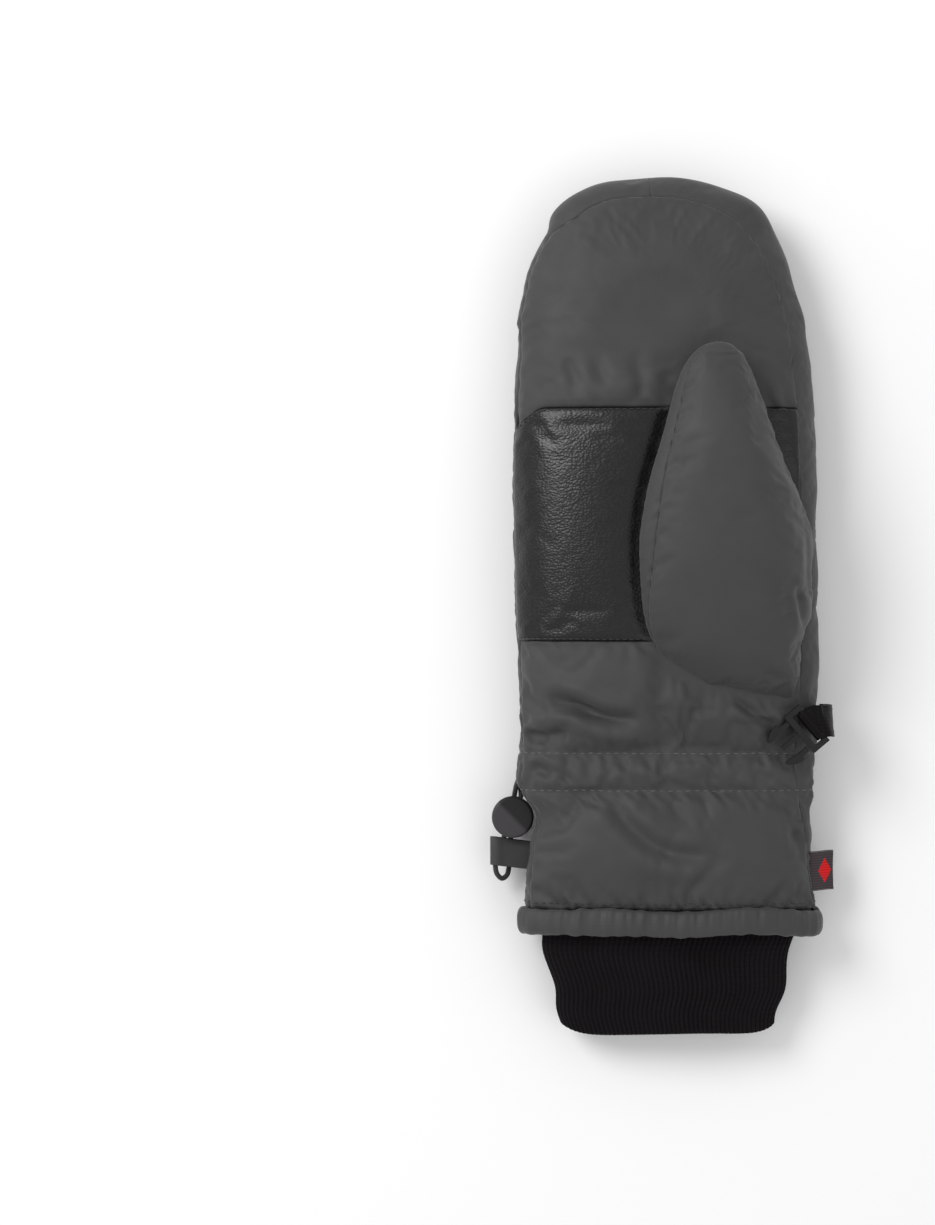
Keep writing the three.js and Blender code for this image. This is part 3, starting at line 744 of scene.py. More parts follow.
def panel(name, slices, material, body, replaced=(), thickness=FABRIC):
    """One cut piece of fabric from slices of grids: each is (grid, normals, flat layout, tucked edges)."""
    points, faces, layout, count = [], [], [], 0
    for grid, normals, flat, tucked in slices:
        for axis, last in tucked:
            grid, normals, flat = tuck(grid, normals, flat, axis, last)
        faces.append(grid_faces(*grid.shape[:2]) + count)
        points.append(grid.reshape(-1, 3))
        layout.append(flat.reshape(-1, 2))
        count += len(points[-1])
    mesh, _, _ = mesh_from(np.concatenate(points), np.concatenate(faces), name, np.concatenate(layout))
    return thicken(add_piece(name, mesh, material, body, replaced), thickness)


# ------------------------------------------------------------------ the hand
# Folds seen in plan: where each runs, its depth and its width.
HAND_FOLDS = [
    ([(-43.9, -36.3), (-35.7, -37.4), (-25.5, -41.7), (-17.4, -43.4), (-9.6, -42.9)], 4.2, 2.8),
    ([(-52.8, -48.8), (-46.2, -50.2), (-35.7, -47.6)], 2.4, 2.4),
    ([(-0.2, -18), (-1.4, -37.4), (1, -56)], 0.9, 3.5),
    ([(-22, -72.9), (-13.1, -84.2), (-1.4, -93.2), (12.3, -95.9), (22.4, -95.6)], 2.3, 3.2),
    ([(22.4, -95.6), (14.6, -104.9), (9.9, -111.5), (9.9, -115.8)], 1.3, 2.2),
    ([(27.1, -34.8), (37.2, -42.9), (43.1, -47.6)], 2.6, 1.8),
    ([(37.2, -36.3), (44.3, -45.5)], 1.6, 1.6),
    ([(-37.6, 95.6), (-33.3, 84.5)], 1.0, 2.4),
    ([(-27.1, 95.6), (-22, 84.5)], 0.9, 2.4),
    ([(-11.5, 97.9), (-8, 81.1)], 0.8, 2.6),
    ([(-46, -62), (-38, -66), (-33, -70)], 1.1, 1.8),
    ([(-50, -60), (-44, -66)], 1.0, 1.6),
    ([(-20, -59), (-12, -64), (-8, -70)], 0.8, 2.0),
    ([(48, -75), (51.5, -88), (55.5, -99)], 1.2, 2.0),
    ([(30, -60), (37, -65), (46, -66)], 0.8, 2.0),
    ([(-49, -20), (-40, -24), (-28, -23)], 0.7, 3.0),
]


def weld(grid):
    """Makes the two sides of the hand meet exactly along the middle of the palm and of the back."""
    straight = 2 * len(STATIONS) - 1
    for row in (0, -1):
        line = grid[:, row]
        middle = (line[:straight] + line[::-1][:straight]) / 2
        line[:straight] = middle
        line[::-1][:straight] = middle
        line[straight:len(line) - straight] = middle[-1]
    return grid


def cross_seams(palm):
    """Seams across the hand: Y, where each is, its gathers' height, pitch and reach, how far it draws in."""
    return ((HEM_Y, 1.0, 0.3, 3.6, 7.0, 0.5), (WRIST_LOW_Y, 1.0, 0.2, 5.5, 6.0, 0.55),
            (WRIST_HIGH_Y, 1.0, 0.22, 5.5, 7.0, 0.55), (PATCH_LOW_Y, palm, 0.25, 6.5, 6.0, 0.8),
            (PATCH_HIGH_Y, palm, 0.3, 6.0, 7.0, 0.8))


def inside(points, outline):
    """Which points lie inside an outline, in plan."""
    outline = np.asarray(outline, float)
    crossings = np.zeros(points.shape[:-1], int)
    for (ax, ay), (bx, by) in zip(outline, np.roll(outline, -1, 0)):
        spans = (points[..., 1] < ay) != (points[..., 1] < by)
        rise = by - ay if abs(by - ay) > 1e-9 else 1e-9
        crossings += spans & (points[..., 0] < ax + (points[..., 1] - ay) / rise * (bx - ax))
    return crossings % 2 == 1


def under_thumb(points):
    """1 where the thumb is sewn on or lies over the palm, falling to 0 a few millimetres outside it."""
    outline = np.concatenate([smooth_line(THUMB_LEFT, 60), smooth_line(THUMB_RIGHT, 60)[::-1]])
    gap = line_distance(points, outline)
    return np.where(inside(points, outline), 1.0, 1 - step_up(gap, 0.3, 5))


def palm_level(x, y):
    """The palm's surface before it swells."""
    left, right = through(OUTLINE, y, 1), through(OUTLINE, y, 2)
    share = np.clip(np.abs(x - (left + right) / 2) / ((right - left) / 2), 0, 1)
    return MIDDLE + (through(LEVELS, y, 1) - MIDDLE) * (1 - share**BULGE) ** (1 / BULGE)


def leather_share(y, palm):
    """1 on the leather patch, 0 off it."""
    above_low = step_up(y, PATCH_LOW_Y - 1, PATCH_LOW_Y + 1)
    return palm * above_low * (1 - step_up(y, PATCH_HIGH_Y - 1, PATCH_HIGH_Y + 1))


def hand_held(rough, palm):
    """How firmly each point stays: on the seams, on the table, under the thumb and round the pole."""
    y = rough[..., 1]
    held = np.zeros(y.shape)
    for seam, where, *_ in cross_seams(palm):
        held = np.maximum(held, fade(y - seam, 1.5) * where)
    held[:, PALM_ROWS] = 1
    held[:, PALM_ROWS + SIDE_ROWS] = 1
    held = np.maximum(held, 0.9 * step_up(1.5 - rough[..., 2], 0, 1))
    held = np.maximum(held, under_thumb(rough) * palm)
    from_pole = np.linalg.norm(rough[..., :2] - POLE, axis=-1)
    return np.maximum(held, 1 - step_up(from_pole, 6, 24))


def hand_loose(y, palm):
    """How much too large the fabric is cut, as a share of MOST_LOOSE: least in the leather."""
    loose = 0.3 + 0.6 * (1 - step_up(y, -50, -10)) - 0.15 * (1 - step_up(y, -90, -75))
    loose *= (1 - 0.85 * leather_share(y, palm)) * (1 - 0.7 * step_up(y, 60, 100))
    loose[:, PALM_ROWS:PALM_ROWS + SIDE_ROWS + 1] *= 0.45
    return loose


def hand_cloth():
    """The hand's fabric, swollen between the places that hold it."""
    rough = table_floor(hand_grid())
    palm = (np.arange(rough.shape[1]) <= PALM_ROWS)[None, :] * np.ones(rough.shape[:2])
    held, loose = hand_held(rough, palm), hand_loose(rough[..., 1], palm)
    settled = simulate("hand_cloth", rough, held, loose, 6.0, 3.5)
    return weld(finer(finer(settled, 0), 1))


def add_cross_gathers(push, grid, palm, leather, side):
    """Beside each seam across the hand, its gathers; along it, the line that it draws in."""
    around = lengths(grid, 1)
    quiet = step_up(around[:, -1:] - around, 0, 15)
    for n, (seam, where, height, pitch, reach, draw) in enumerate(cross_seams(palm)):
        distance = grid[..., 1] - seam
        gather = ripple(side * around + 3 * np.sin(distance / 4), pitch, 10 + n)
        push += where * (1 - leather) * quiet * height * gather * fade(distance, reach)
        push -= where * draw * np.exp(-np.abs(distance) / 1.6) * (1 - 0.4 * leather)


def add_side_gathers(push, grid, leather):
    """The same for the two seams along each side."""
    around, along = lengths(grid, 1), lengths(grid, 0)
    for n, row in enumerate((2 * PALM_ROWS, 2 * (PALM_ROWS + SIDE_ROWS))):
        distance = around - around[:, row:row + 1]
        gather = ripple(along[:, row:row + 1] + 2.5 * np.sin(distance / 3), 6.5, 20 + n)
        push += 0.12 * gather * fade(distance, 5) * (1 - leather)
        push -= 0.4 * np.exp(-np.abs(distance) / 1.1)


def lowest_level(grid):
    """How low the fabric may lie: just over the table, or over the emblem where that lies under it."""
    low, high = cad_box("back_emblem_patch")
    over = np.ones(grid.shape[:2])
    for k in (0, 1):
        over = over * step_up(grid[..., k], low[k] - 4, low[k] + 1)
        over = over * (1 - step_up(grid[..., k], high[k] - 1, high[k] + 4))
    return 0.15 + (high[2] - 0.1) * over


def hand_detail(grid):
    """Adds what is finer than the simulation: seams drawn in, gathers beside them, and the deep folds."""
    y = grid[..., 1]
    rows = np.arange(grid.shape[1])
    side = np.where(np.arange(len(grid)) < len(grid) // 2, -1, 1)[:, None]
    palm = (rows <= 2 * PALM_ROWS)[None, :] * np.ones(y.shape)
    leather = leather_share(y, palm)
    push = np.zeros(y.shape)
    add_cross_gathers(push, grid, palm, leather, side)
    add_side_gathers(push, grid, leather)
    for line, depth, width in HAND_FOLDS:
        push += crease(grid, line, depth, width) * (rows <= 2 * (PALM_ROWS + 4))[None, :]
    push += 0.9 * leather
    push += 0.18 * swell(grid, 22, 3) * (1 - leather)
    fixed = step_up(grid[..., 2], 0.2, 2.5) * (1 - under_thumb(grid) * palm)
    grid = weld(grid + grid_normals(grid) * (push * fixed)[..., None])
    grid[..., 2] = np.maximum(grid[..., 2], lowest_level(grid))
    grid = weld(grid)
    corner = palm * (side < 0) * step_up(rows, 1.5 * PALM_ROWS, 2 * PALM_ROWS)[None, :]
    grid[..., 1] -= CORNER_CUT * corner * fade(y - PATCH_HIGH_Y, 16)
    return grid


def column_of(y):
    """The fine grid's column on the little-finger side at a cross seam."""
    return 2 * int(np.argmin(np.abs(STATIONS - y)))


def hand_pieces(grid):
    """Cuts the hand's fabric into its panels, with a seam allowance on each edge that is sewn."""
    normals = weld(grid_normals(grid))
    plan, edge = grid[..., :2], np.stack([lengths(grid, 0), grid[..., 2]], -1)
    last, palm_end, side_end = len(grid) - 1, 2 * PALM_ROWS, 2 * (PALM_ROWS + SIDE_ROWS)
    palm, side, back = (0, palm_end), (palm_end, side_end), (side_end, grid.shape[1] - 1)
    low, high = column_of(PATCH_LOW_Y), column_of(PATCH_HIGH_Y)
    tip = 2 * (len(STATIONS) + int(np.argmin(np.abs(FAN - TIP_SEAM_ANGLE))))
    first_column, last_column, first_row, last_row = (0, False), (0, True), (1, False), (1, True)
    shell, leather = (MATERIALS["shell"], "shell_fabric", FABRIC), (MATERIALS["leather"], "leather", LEATHER)

    def cut(columns, rows, flat, *tucked):
        picked = (slice(columns[0], columns[1] + 1), slice(rows[0], rows[1] + 1))
        return grid[picked], normals[picked], flat[picked], tucked

    for name, node, (material, slot, thickness), slices in (
            ("back_panel", "back_shell", shell,
             [cut((0, last), back, plan, first_row, first_column, last_column)]),
            ("little_side_panel", "little_side_gusset", shell,
             [cut((0, tip), side, edge, first_row, last_row, last_column)]),
            ("thumb_side_panel", "thumb_side_gusset", shell,
             [cut((tip, last), side, edge, first_row, last_row, first_column)]),
            ("palm_lower_panel", "palm_shell_lower", shell,
             [cut((0, low), palm, plan, last_column, last_row),
              cut((last - low, last), palm, plan, first_column, last_row)]),
            ("palm_leather", "palm_patch", leather,
             [cut((low, high), palm, plan, last_column, first_column, last_row),
              cut((last - high, last - low), palm, plan, last_column, first_column, last_row)]),
            ("palm_upper_panel", "palm_shell_upper", shell,
             [cut((high, last - high), palm, plan, first_column, last_column, last_row)])):
        panel(name, slices, material, "hand", [node], thickness)
    return normals


# ------------------------------------------------------------------ the thumb
# The thumb's edges in plan, from its heel to its tip.
THUMB_LEFT = [
    (49.8, -36.7), (34.9, -33.8), (19.3, -30.7), (10.5, -28), (3.9, -24.2), (-1, -18.5), (-5, -12),
    (-7.9, -2.5), (-9.4, 8), (-9.8, 20), (-9.5, 30), (-8, 41), (-3.8, 56.6), (0.6, 71.9), (3.6, 82.9),
    (6.2, 90.6), (10.2, 96.6), (15, 100.2), (20.5, 101.2),
]
THUMB_RIGHT = [
    (49.8, -36.7), (51.6, -27), (54, -11.3), (56, 0), (56.8, 14), (56.6, 26), (54.2, 36), (50.8, 45),
    (46.8, 53.5), (41.2, 67.5), (36, 81.8), (32.2, 91), (29, 96.4), (25.2, 100), (20.5, 101.2),
]
# The thumb by Y: its crown's level, its rim's height over the palm on the left and the right, and its
# underside's level on the left and the right.
THUMB_LEVELS = np.array([
    (-38, 32, -3, -3, 26, 22), (-30, 40, -3, -3, 28, 22), (-20, 47.5, -2.6, -2.6, 30, 22),
    (-10, 53, -0.6, -2.2, 34, 22), (0, 57, 2.2, -1.5, 36, 22), (10, 59.5, 4.5, -0.8, 37, 22),
    (30, 62, 7.5, 3.5, 37.5, 25), (42, 62.5, 8.5, 8.5, 39, 33), (55, 62.5, 9, 10.5, 41.4, 41.2),
    (72, 61, 9.5, 9.5, 42, 42), (90, 58, 9.5, 9.5, 42.5, 42.5), (104, 54, 9.5, 9.5, 43.5, 43.5),
])
# How far its lower seam lies inside the left edge, by the share of the way from its heel to its tip.
THUMB_SEAM = np.array([
    (0, 0.3), (0.33, 0.4), (0.39, 1.6), (0.45, 3.4), (0.51, 5.0), (0.57, 5.8), (0.63, 5.6), (0.71, 4.2),
    (0.8, 3.2), (0.86, 2.6), (0.92, 1.6), (1, 0.3),
])
THUMB_STATIONS = 96
SEAM_ROWS, CROWN_ROWS, UNDER_ROWS = 6, 34, 22
THUMB_BULGE = 2.3
THUMB_FOLDS = [
    ([(32.8, -20.3), (40, -26.5), (44, -28)], 0.6, 2.6),
    ([(50.4, 8), (52.2, -3.1), (53.6, -8)], 1.2, 1.5),
    ([(54.5, 28), (55.4, 16), (54.6, 4)], 0.8, 1.6),
]


def thumb_ring(a, b, share):
    """A ring from the thumb's left rim at a over its crown to its right rim at b, and back under."""
    angle = np.radians(np.linspace(180, 0, 181))
    across, rise = squared(np.cos(angle), 2 / THUMB_BULGE), squared(np.sin(angle), 2 / THUMB_BULGE)
    flat = (a + b) / 2 + across[:, None] * (b - a) / 2
    mix = (across + 1) / 2
    crown, *levels = (through(THUMB_LEVELS, flat[:, 1], k) for k in range(1, 6))
    rim = palm_level(flat[:, 0], flat[:, 1]) + levels[0] * (1 - mix) + levels[1] * mix
    under = levels[2] * (1 - mix) + levels[3] * mix
    blunt = min(1.0, float(np.linalg.norm(b - a)) / 18) ** 0.5
    top = np.column_stack([flat, rim + (crown - rim) * rise * blunt])
    low = np.column_stack([flat, rim - (rim - under) * rise * blunt])[::-1]
    run = run_along(top)
    inset = min(float(through(THUMB_SEAM, share)), 0.3 * max(run[-1], 1e-6))
    seam = np.interp(inset, np.linalg.norm(flat - flat[0], axis=1), run)
    over = at_length(top, spread([0, seam, run[-1]], (SEAM_ROWS, CROWN_ROWS))[:-1])
    below = at_length(low, np.linspace(0, run_along(low)[-1], UNDER_ROWS, endpoint=False))
    return np.concatenate([over, below])


def thumb_grid():
    """Rings across the thumb from tip to heel; rows go from the left rim over the crown and back under."""
    spaced = 0.5 - 0.5 * np.cos(np.pi * (0.12 + 0.88 * np.linspace(0, 1, THUMB_STATIONS)))
    shares = (spaced - spaced[0]) / (spaced[-1] - spaced[0])
    even = np.linspace(0, 1, 400)
    edges = [smooth_line(edge, 400) for edge in (THUMB_LEFT, THUMB_RIGHT)]
    rings = []
    for share in shares:
        a, b = (np.array([np.interp(share, even, edge[:, k]) for k in (0, 1)]) for edge in edges)
        rings.append(thumb_ring(a, b, share))
    return np.array(rings)[::-1]


def thumb_cloth():
    """The thumb's fabric, swollen between its seams and flat where the thumb is narrow."""
    rough = thumb_grid()
    y = rough[..., 1]
    rows = np.arange(rough.shape[1])
    held = np.zeros(y.shape)
    held[:, :SEAM_ROWS + 1] = 0.85
    held[:, SEAM_ROWS + CROWN_ROWS] = 1
    under = (rows > SEAM_ROWS + CROWN_ROWS)[None, :] * np.ones(y.shape)
    held = np.maximum(held, under * (1 - step_up(y, 35, 50)))
    width = np.linalg.norm(rough[:, SEAM_ROWS + CROWN_ROWS] - rough[:, 0], axis=1)[:, None]
    held = np.maximum(held, 1 - step_up(width, 3, 12))
    loose = 0.3 + 0.3 * (1 - step_up(y, -10, 30))
    settled = simulate("thumb_cloth", rough, held, loose, 5.0, 1.8, wrap_rows=True)
    settled = rough + (settled - rough) * step_up(width, 4, 30)[..., None]
    return finer(finer(settled, 0), 1, closed=True)


def thumb_detail(grid):
    """Adds what is finer than the simulation: its two seams drawn in, their gathers, and the folds."""
    along = lengths(grid, 0)
    looped = np.concatenate([grid, grid[:, :1]], axis=1)
    around = lengths(looped, 1)
    total, around = around[:, -1:], around[:, :-1]
    push = np.zeros(grid.shape[:2])
    for n, row in enumerate((2 * SEAM_ROWS, 2 * (SEAM_ROWS + CROWN_ROWS))):
        distance = around - around[:, row:row + 1]
        distance = distance - total * np.round(distance / np.maximum(total, 1e-6))
        push += 0.16 * ripple(along[:, row:row + 1] + 2 * np.sin(distance / 3), 6, 30 + n) * fade(distance, 5)
        push -= 0.4 * np.exp(-np.abs(distance) / 1.1)
    over = (np.arange(grid.shape[1]) < 2 * (SEAM_ROWS + CROWN_ROWS))[None, :]
    for line, depth, width in THUMB_FOLDS:
        push += crease(grid, line, depth, width) * over
    push += 0.2 * swell(grid, 26, 8)
    small = step_up(total, 10, 50)
    return grid + grid_normals(grid, True) * (push * small)[..., None]


def thumb_pieces(grid):
    """The thumb's two panels: one over its crown, and one up its side and under it."""
    normals = grid_normals(grid, True)
    plan, side = grid[..., :2], np.stack([lengths(grid, 0), grid[..., 2]], -1)
    seam, rim = 2 * SEAM_ROWS, 2 * (SEAM_ROWS + CROWN_ROWS)
    for name, nodes, rows, flat in (
            ("thumb_crown_panel", ["thumb_shell_outer", "thumb_collar"], np.arange(seam, rim + 1), plan),
            ("thumb_side_strip", ["thumb_shell_inner"], np.r_[rim:grid.shape[1], 0:seam + 1], side)):
        piece = (grid[:, rows], normals[:, rows], flat[:, rows], ((1, False), (1, True)))
        thumb_blend(panel(name, [piece], MATERIALS["shell"], None, nodes))


def thumb_blend(obj):
    """Bakes the piece's placement into its mesh."""
    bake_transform(obj)


# ------------------------------------------------------------------ padding and linings
INNER_START = -62.0  # the padding and the drawcord's casing meet here
LINING_START = -98.7
CASING = (-73.5, -62.3)
GAUNTLET = (-117.0, -73.8)
WADDING_START = -112.0
HEM_INSET = 2.2
CASING_CORD_Y = -67.8
CASING_CORD_INSET = 4.4
FACING_BEYOND = 2.5  # the gauntlet's facing goes on this far into the hem's roll
FILL_INSET, FILL_THICK = 3.4, 2.8
LINING_INSET, LINING_THICK = 6.8, 0.8
FACING_INSET, FACING_THICK = 5.0, 0.7
TAPE_INSET, TAPE_THICK = 5.6, 0.6
WADDING_THICK = 1.4


def layer(name, parts, inset, thickness, material, node, slot, fullness=None):
    """A hidden layer: slices of a grid moved in from the surface, closing up to the roll at the hem."""
    slices = []
    for points, normals in parts:
        depth = np.minimum(inset, HEM_INSET + points[..., 1] - HEM_Y)[..., None]
        inner = points - depth * normals
        inner[..., 2] = np.maximum(inner[..., 2], 1.5)
        slices.append((inner, normals, points[..., :2], ()))
    obj = panel(name, slices, material, "hand", [node], thickness)


def into_roll(parts):
    """Adds a line beyond the hem to both sides of the gauntlet's facing, so that it ends inside the roll."""
    drop = np.array([0, FACING_BEYOND, 0])
    longer = []
    for (points, normals), last in zip(parts, (False, True)):
        line, out = border(points, 0, last) - drop, border(normals, 0, last)
        longer.append((with_line(points, line, 0, last), with_line(normals, out, 0, last)))
    return longer


def inner_form():
    """The hand's grid and normals before the fabric swells, for what lies inside it."""
    grid = hand_grid()
    normals = grid_normals(grid)
    normals[:, 0] = (0, 0, 1)
    normals[:, -1] = (0, 0, -1)
    grid[..., 2] = np.maximum(grid[..., 2], 0.6)
    return grid, normals


def band(form, low, high):
    """Both sides of the hand between two values of Y."""
    a, b = np.searchsorted(STATIONS, low), np.searchsorted(STATIONS, high)
    last = len(form[0]) - 1
    return [tuple(field[side] for field in form) for side in (slice(a, b + 1), slice(last - b, last - a + 1))]


def beyond(form, low, first_row, last_row):
    """The hand from a Y on, round the tip and back, between two rows."""
    a = np.searchsorted(STATIONS, low)
    return [tuple(field[a:len(field) - a, first_row:last_row + 1] for field in form)]


def hand_layers():
    """Padding, lining and the drawcord's casing, each inside the fabric that covers it."""
    form = inner_form()
    middle, end = PALM_ROWS + SIDE_ROWS // 2, form[0].shape[1] - 1
    fill, lining = MATERIALS["fill"], MATERIALS["lining"]
    for side, rows in (("palm", (0, middle)), ("back", (middle, end))):
        layer(side + "_padding", beyond(form, INNER_START, *rows), FILL_INSET, FILL_THICK, fill,
              side + "_insulation", "insulation", 0.6)
        layer(side + "_lining_fabric", beyond(form, LINING_START, *rows), LINING_INSET, LINING_THICK, lining,
              side + "_lining", "lining_fabric")
    layer("gauntlet_wadding", band(form, WADDING_START, GAUNTLET[1]), FILL_INSET, WADDING_THICK, fill,
          "gauntlet_padding", "insulation", 0.4)
    layer("gauntlet_facing_fabric", into_roll(band(form, *GAUNTLET)), FACING_INSET, FACING_THICK, lining,
          "gauntlet_facing", "lining_fabric")
    layer("casing_tape", band(form, *CASING), TAPE_INSET, TAPE_THICK, lining, "wrist_casing_tape",
          "lining_fabric")
    casing_cord(form)


def casing_cord(form):
    """The closed ring of cord inside the wrist's casing."""
    column = int(np.argmin(np.abs(STATIONS - CASING_CORD_Y)))
    other = len(form[0]) - 1 - column
    ring, out = (np.concatenate([field[column], field[other][::-1][1:-1]]) for field in form)
    cord = tube_grid(ring - CASING_CORD_INSET * out, CORD_DIAMETER / 2, 10, closed=True)
    grid_piece("casing_cord", cord, MATERIALS["cord"], "hand", ["wrist_drawcord"], "cord", wrap_columns=True,
               wrap_rows=True)


def thumb_layers():
    """The thumb's padding and lining: its wide rings, drawn in towards their middles."""
    grid = thumb_grid()
    grid = grid[(grid[:, SEAM_ROWS + CROWN_ROWS, 0] - grid[:, 0, 0] > 20) & (grid[:, 0, 1] > -8)]
    centre = grid.mean(axis=1, keepdims=True)
    reach = np.linalg.norm(grid - centre, axis=-1, keepdims=True)
    for name, inset, thickness, material, node, slot in (
            ("thumb_padding", 3.2, 1.4, "fill", "thumb_insulation", "insulation"),
            ("thumb_lining_fabric", 5.0, 0.8, "lining", "thumb_lining", "lining_fabric")):
        inner = centre + (grid - centre) * np.maximum(1 - inset / reach, 0.2)
        obj = grid_piece(name, inner, MATERIALS[material], None, [node], slot, wrap_rows=True)
        thicken(obj, thickness)
        thumb_blend(obj)


# ------------------------------------------------------------------ tubes, ribbons and stitches
def tube_grid(path, radius, sides, closed=False, up=(0, 0, 1)):
    """Rings round a path; radius is one number or one for each point."""
    path = np.asarray(path, float)
    tangent = unit(np.roll(path, -1, 0) - np.roll(path, 1, 0)) if closed else unit(np.gradient(path, axis=0))
    side = unit(np.cross(tangent, np.asarray(up, float)))
    over = np.cross(side, tangent)
    angle = 2 * np.pi * np.arange(sides) / sides
    reach = np.broadcast_to(radius, len(path))[:, None, None]
    out = np.cos(angle)[:, None] * side[:, None] + np.sin(angle)[:, None] * over[:, None]
    return path[:, None] + reach * out


def stitches(name, path, normals, material, body, pitch=3.4, length=2.2, radius=0.25, proud=0.12,
             seed=1):
    """A row of thread stitches lying on a path over a surface, as one mesh."""
    rng = np.random.default_rng(seed)
    run = run_along(path)
    shares = np.linspace(-0.5, 0.5, 6)
    points, faces, count = [], [], 0
    for start in np.arange(pitch / 2, run[-1] - pitch / 2, pitch):
        span = start + shares * length * rng.uniform(0.85, 1.1)
        line = at_length(path, span)
        normal = unit(np.column_stack([np.interp(span, run, column) for column in normals.T]))
        if line[:, 2].min() < 0.6:
            continue
        line = line + normal * (proud + radius * (1 - (2 * shares) ** 2) - radius)[:, None]
        thick = radius * np.sqrt(np.maximum(1 - (1.9 * shares) ** 4, 0.05))
        ring = tube_grid(line, thick, 6, up=normal[2])
        faces.append(grid_faces(*ring.shape[:2], wrap_rows=True) + count)
        points.append(ring.reshape(-1, 3))
        count += len(points[-1])
    mesh, _, _ = mesh_from(np.concatenate(points), np.concatenate(faces), name)
    return add_piece(name, mesh, material, body, ())


def cross_ring(grid, normals, y):
    """The closed line round the hand at a cross seam, with its normals, from the palm's middle."""
    column = column_of(y)
    left, right = grid[column], grid[len(grid) - 1 - column]
    left_out, right_out = normals[column], normals[len(grid) - 1 - column]
    return np.concatenate([right[::-1], left[1:]]), np.concatenate([right_out[::-1], left_out[1:]])


def hand_stitching(grid, normals):
    """The lines of stitches at the wrist, along the leather's two ends and over the hem."""
    for name, y in (("wrist_stitches_low", WRIST_LOW_Y), ("wrist_stitches_high", WRIST_HIGH_Y)):
        line, out = cross_ring(grid, normals, y)
        stitches(name, line, out, MATERIALS["pale_thread"], "hand", seed=len(name))
    for name, y, step in (("patch_stitches_low", PATCH_LOW_Y, 1), ("patch_stitches_high", PATCH_HIGH_Y, -1)):
        left = column_of(y) + step
        right = len(grid) - 1 - left
        palm = slice(0, 2 * PALM_ROWS)
        line, out = (np.concatenate([field[left, palm][::-1], field[right, palm]])
                     for field in (grid, normals))
        stitches(name, line, out, MATERIALS["dark_thread"], "hand", 2.6, 1.7, 0.24, 0.12, 9)
    line, out = cross_ring(grid, normals, HEM_Y + 2)
    stitches("hem_stitches", line, out, MATERIALS["dark_thread"], "hand",
             3.0, 2.0, 0.25, 0.1, 4)


# ------------------------------------------------------------------ hem and cuff
ROLL_THICK, ROLL_WIDE = 2.6, 5.1  # half the roll's size, out from the hand and along it
ROLL_INSET, ROLL_DROP = 0.8, 4.9  # where its middle lies, in from the hand's outline and down from the hem
ROLL_POINTS, ROLL_SIDES = 420, 24
ROLL_BULGE = 2.3


def hem_ring():
    """Points at even steps round the hand at the hem, the way out at each, and their distance round it."""
    left, right = (float(through(OUTLINE, HEM_Y, k)) for k in (1, 2))
    palm, back = (float(through(LEVELS, HEM_Y, k)) for k in (1, 2))
    angle = np.linspace(0, 2 * np.pi, 1441)[:-1]
    c, d = np.cos(angle), np.sin(angle)
    rise = np.where(d > 0, palm - MIDDLE, MIDDLE - back)
    ring = np.column_stack([(left + right) / 2 + (right - left) / 2 * squared(c, 2 / BULGE),
                            np.zeros(len(angle)), MIDDLE + rise * squared(d, 2 / BULGE)])
    even = np.linspace(0, run_along(ring)[-1], ROLL_POINTS, endpoint=False)
    ring = at_length(ring, even)
    tangent = unit(np.roll(ring, -1, 0) - np.roll(ring, 1, 0))
    return ring, np.cross(tangent, (0, 1, 0)), even


def hem_roll():
    """The padded roll at the gauntlet's edge, gathered where it is sewn on."""
    ring, out, even = hem_ring()
    turn = np.linspace(0, 2 * np.pi, ROLL_SIDES, endpoint=False)
    pucker = ripple(even[:, None] + 0.8 * np.cos(turn), 3.6, 43)
    pucker_far = ripple(even[:, None] + 1.2 * np.sin(turn), 7.5, 44)
    sewn = np.clip(np.sin(turn), 0, 1)[None, :]
    thick = ROLL_THICK + 0.2 * ripple(even, 30, 41)[:, None] * np.ones(ROLL_SIDES)
    thick = thick + 0.34 * pucker * (0.35 + 0.65 * sewn) + 0.22 * pucker_far
    wide = ROLL_WIDE + 0.2 * ripple(even, 38, 42)[:, None] * np.ones(ROLL_SIDES)
    wide = wide + 0.2 * pucker_far
    x, y = squared(np.cos(turn), 2 / ROLL_BULGE), squared(np.sin(turn), 2 / ROLL_BULGE)
    grid = ring[:, None] + out[:, None] * (thick * x - ROLL_INSET)[..., None]
    grid[..., 1] = HEM_Y - ROLL_DROP + wide * y + 0.35 * ripple(even, 45, 45)[:, None]
    obj = grid_piece("hem_roll_fabric", table_floor(grid), MATERIALS["shell"], "hand", ["hem_roll"],
                     "shell_fabric", uv=flat_layout(even, turn * 4), wrap_columns=True, wrap_rows=True)


# The knit cuff by Y: left, right, palm side, back side.
CUFF = np.array([
    (-167, -38.4, 44.6, 20.6, 2.6), (-156, -40.6, 46.6, 22.2, 3.4), (-142, -43.4, 48.8, 24.4, 5.4),
    (-128, -46.8, 51.0, 27.0, 8.4), (-115, -48.0, 52.0, 27.4, 8.6), (-99, -46.4, 51.4, 28.0, 6.4),
])
CUFF_TOP, CUFF_FOLD, CUFF_INNER_TOP = -99.0, -165.6, -103.0
CUFF_THICK = 2.2
CUFF_BULGE = 2.5
RIBS, RIB_DEPTH = 104, 0.42


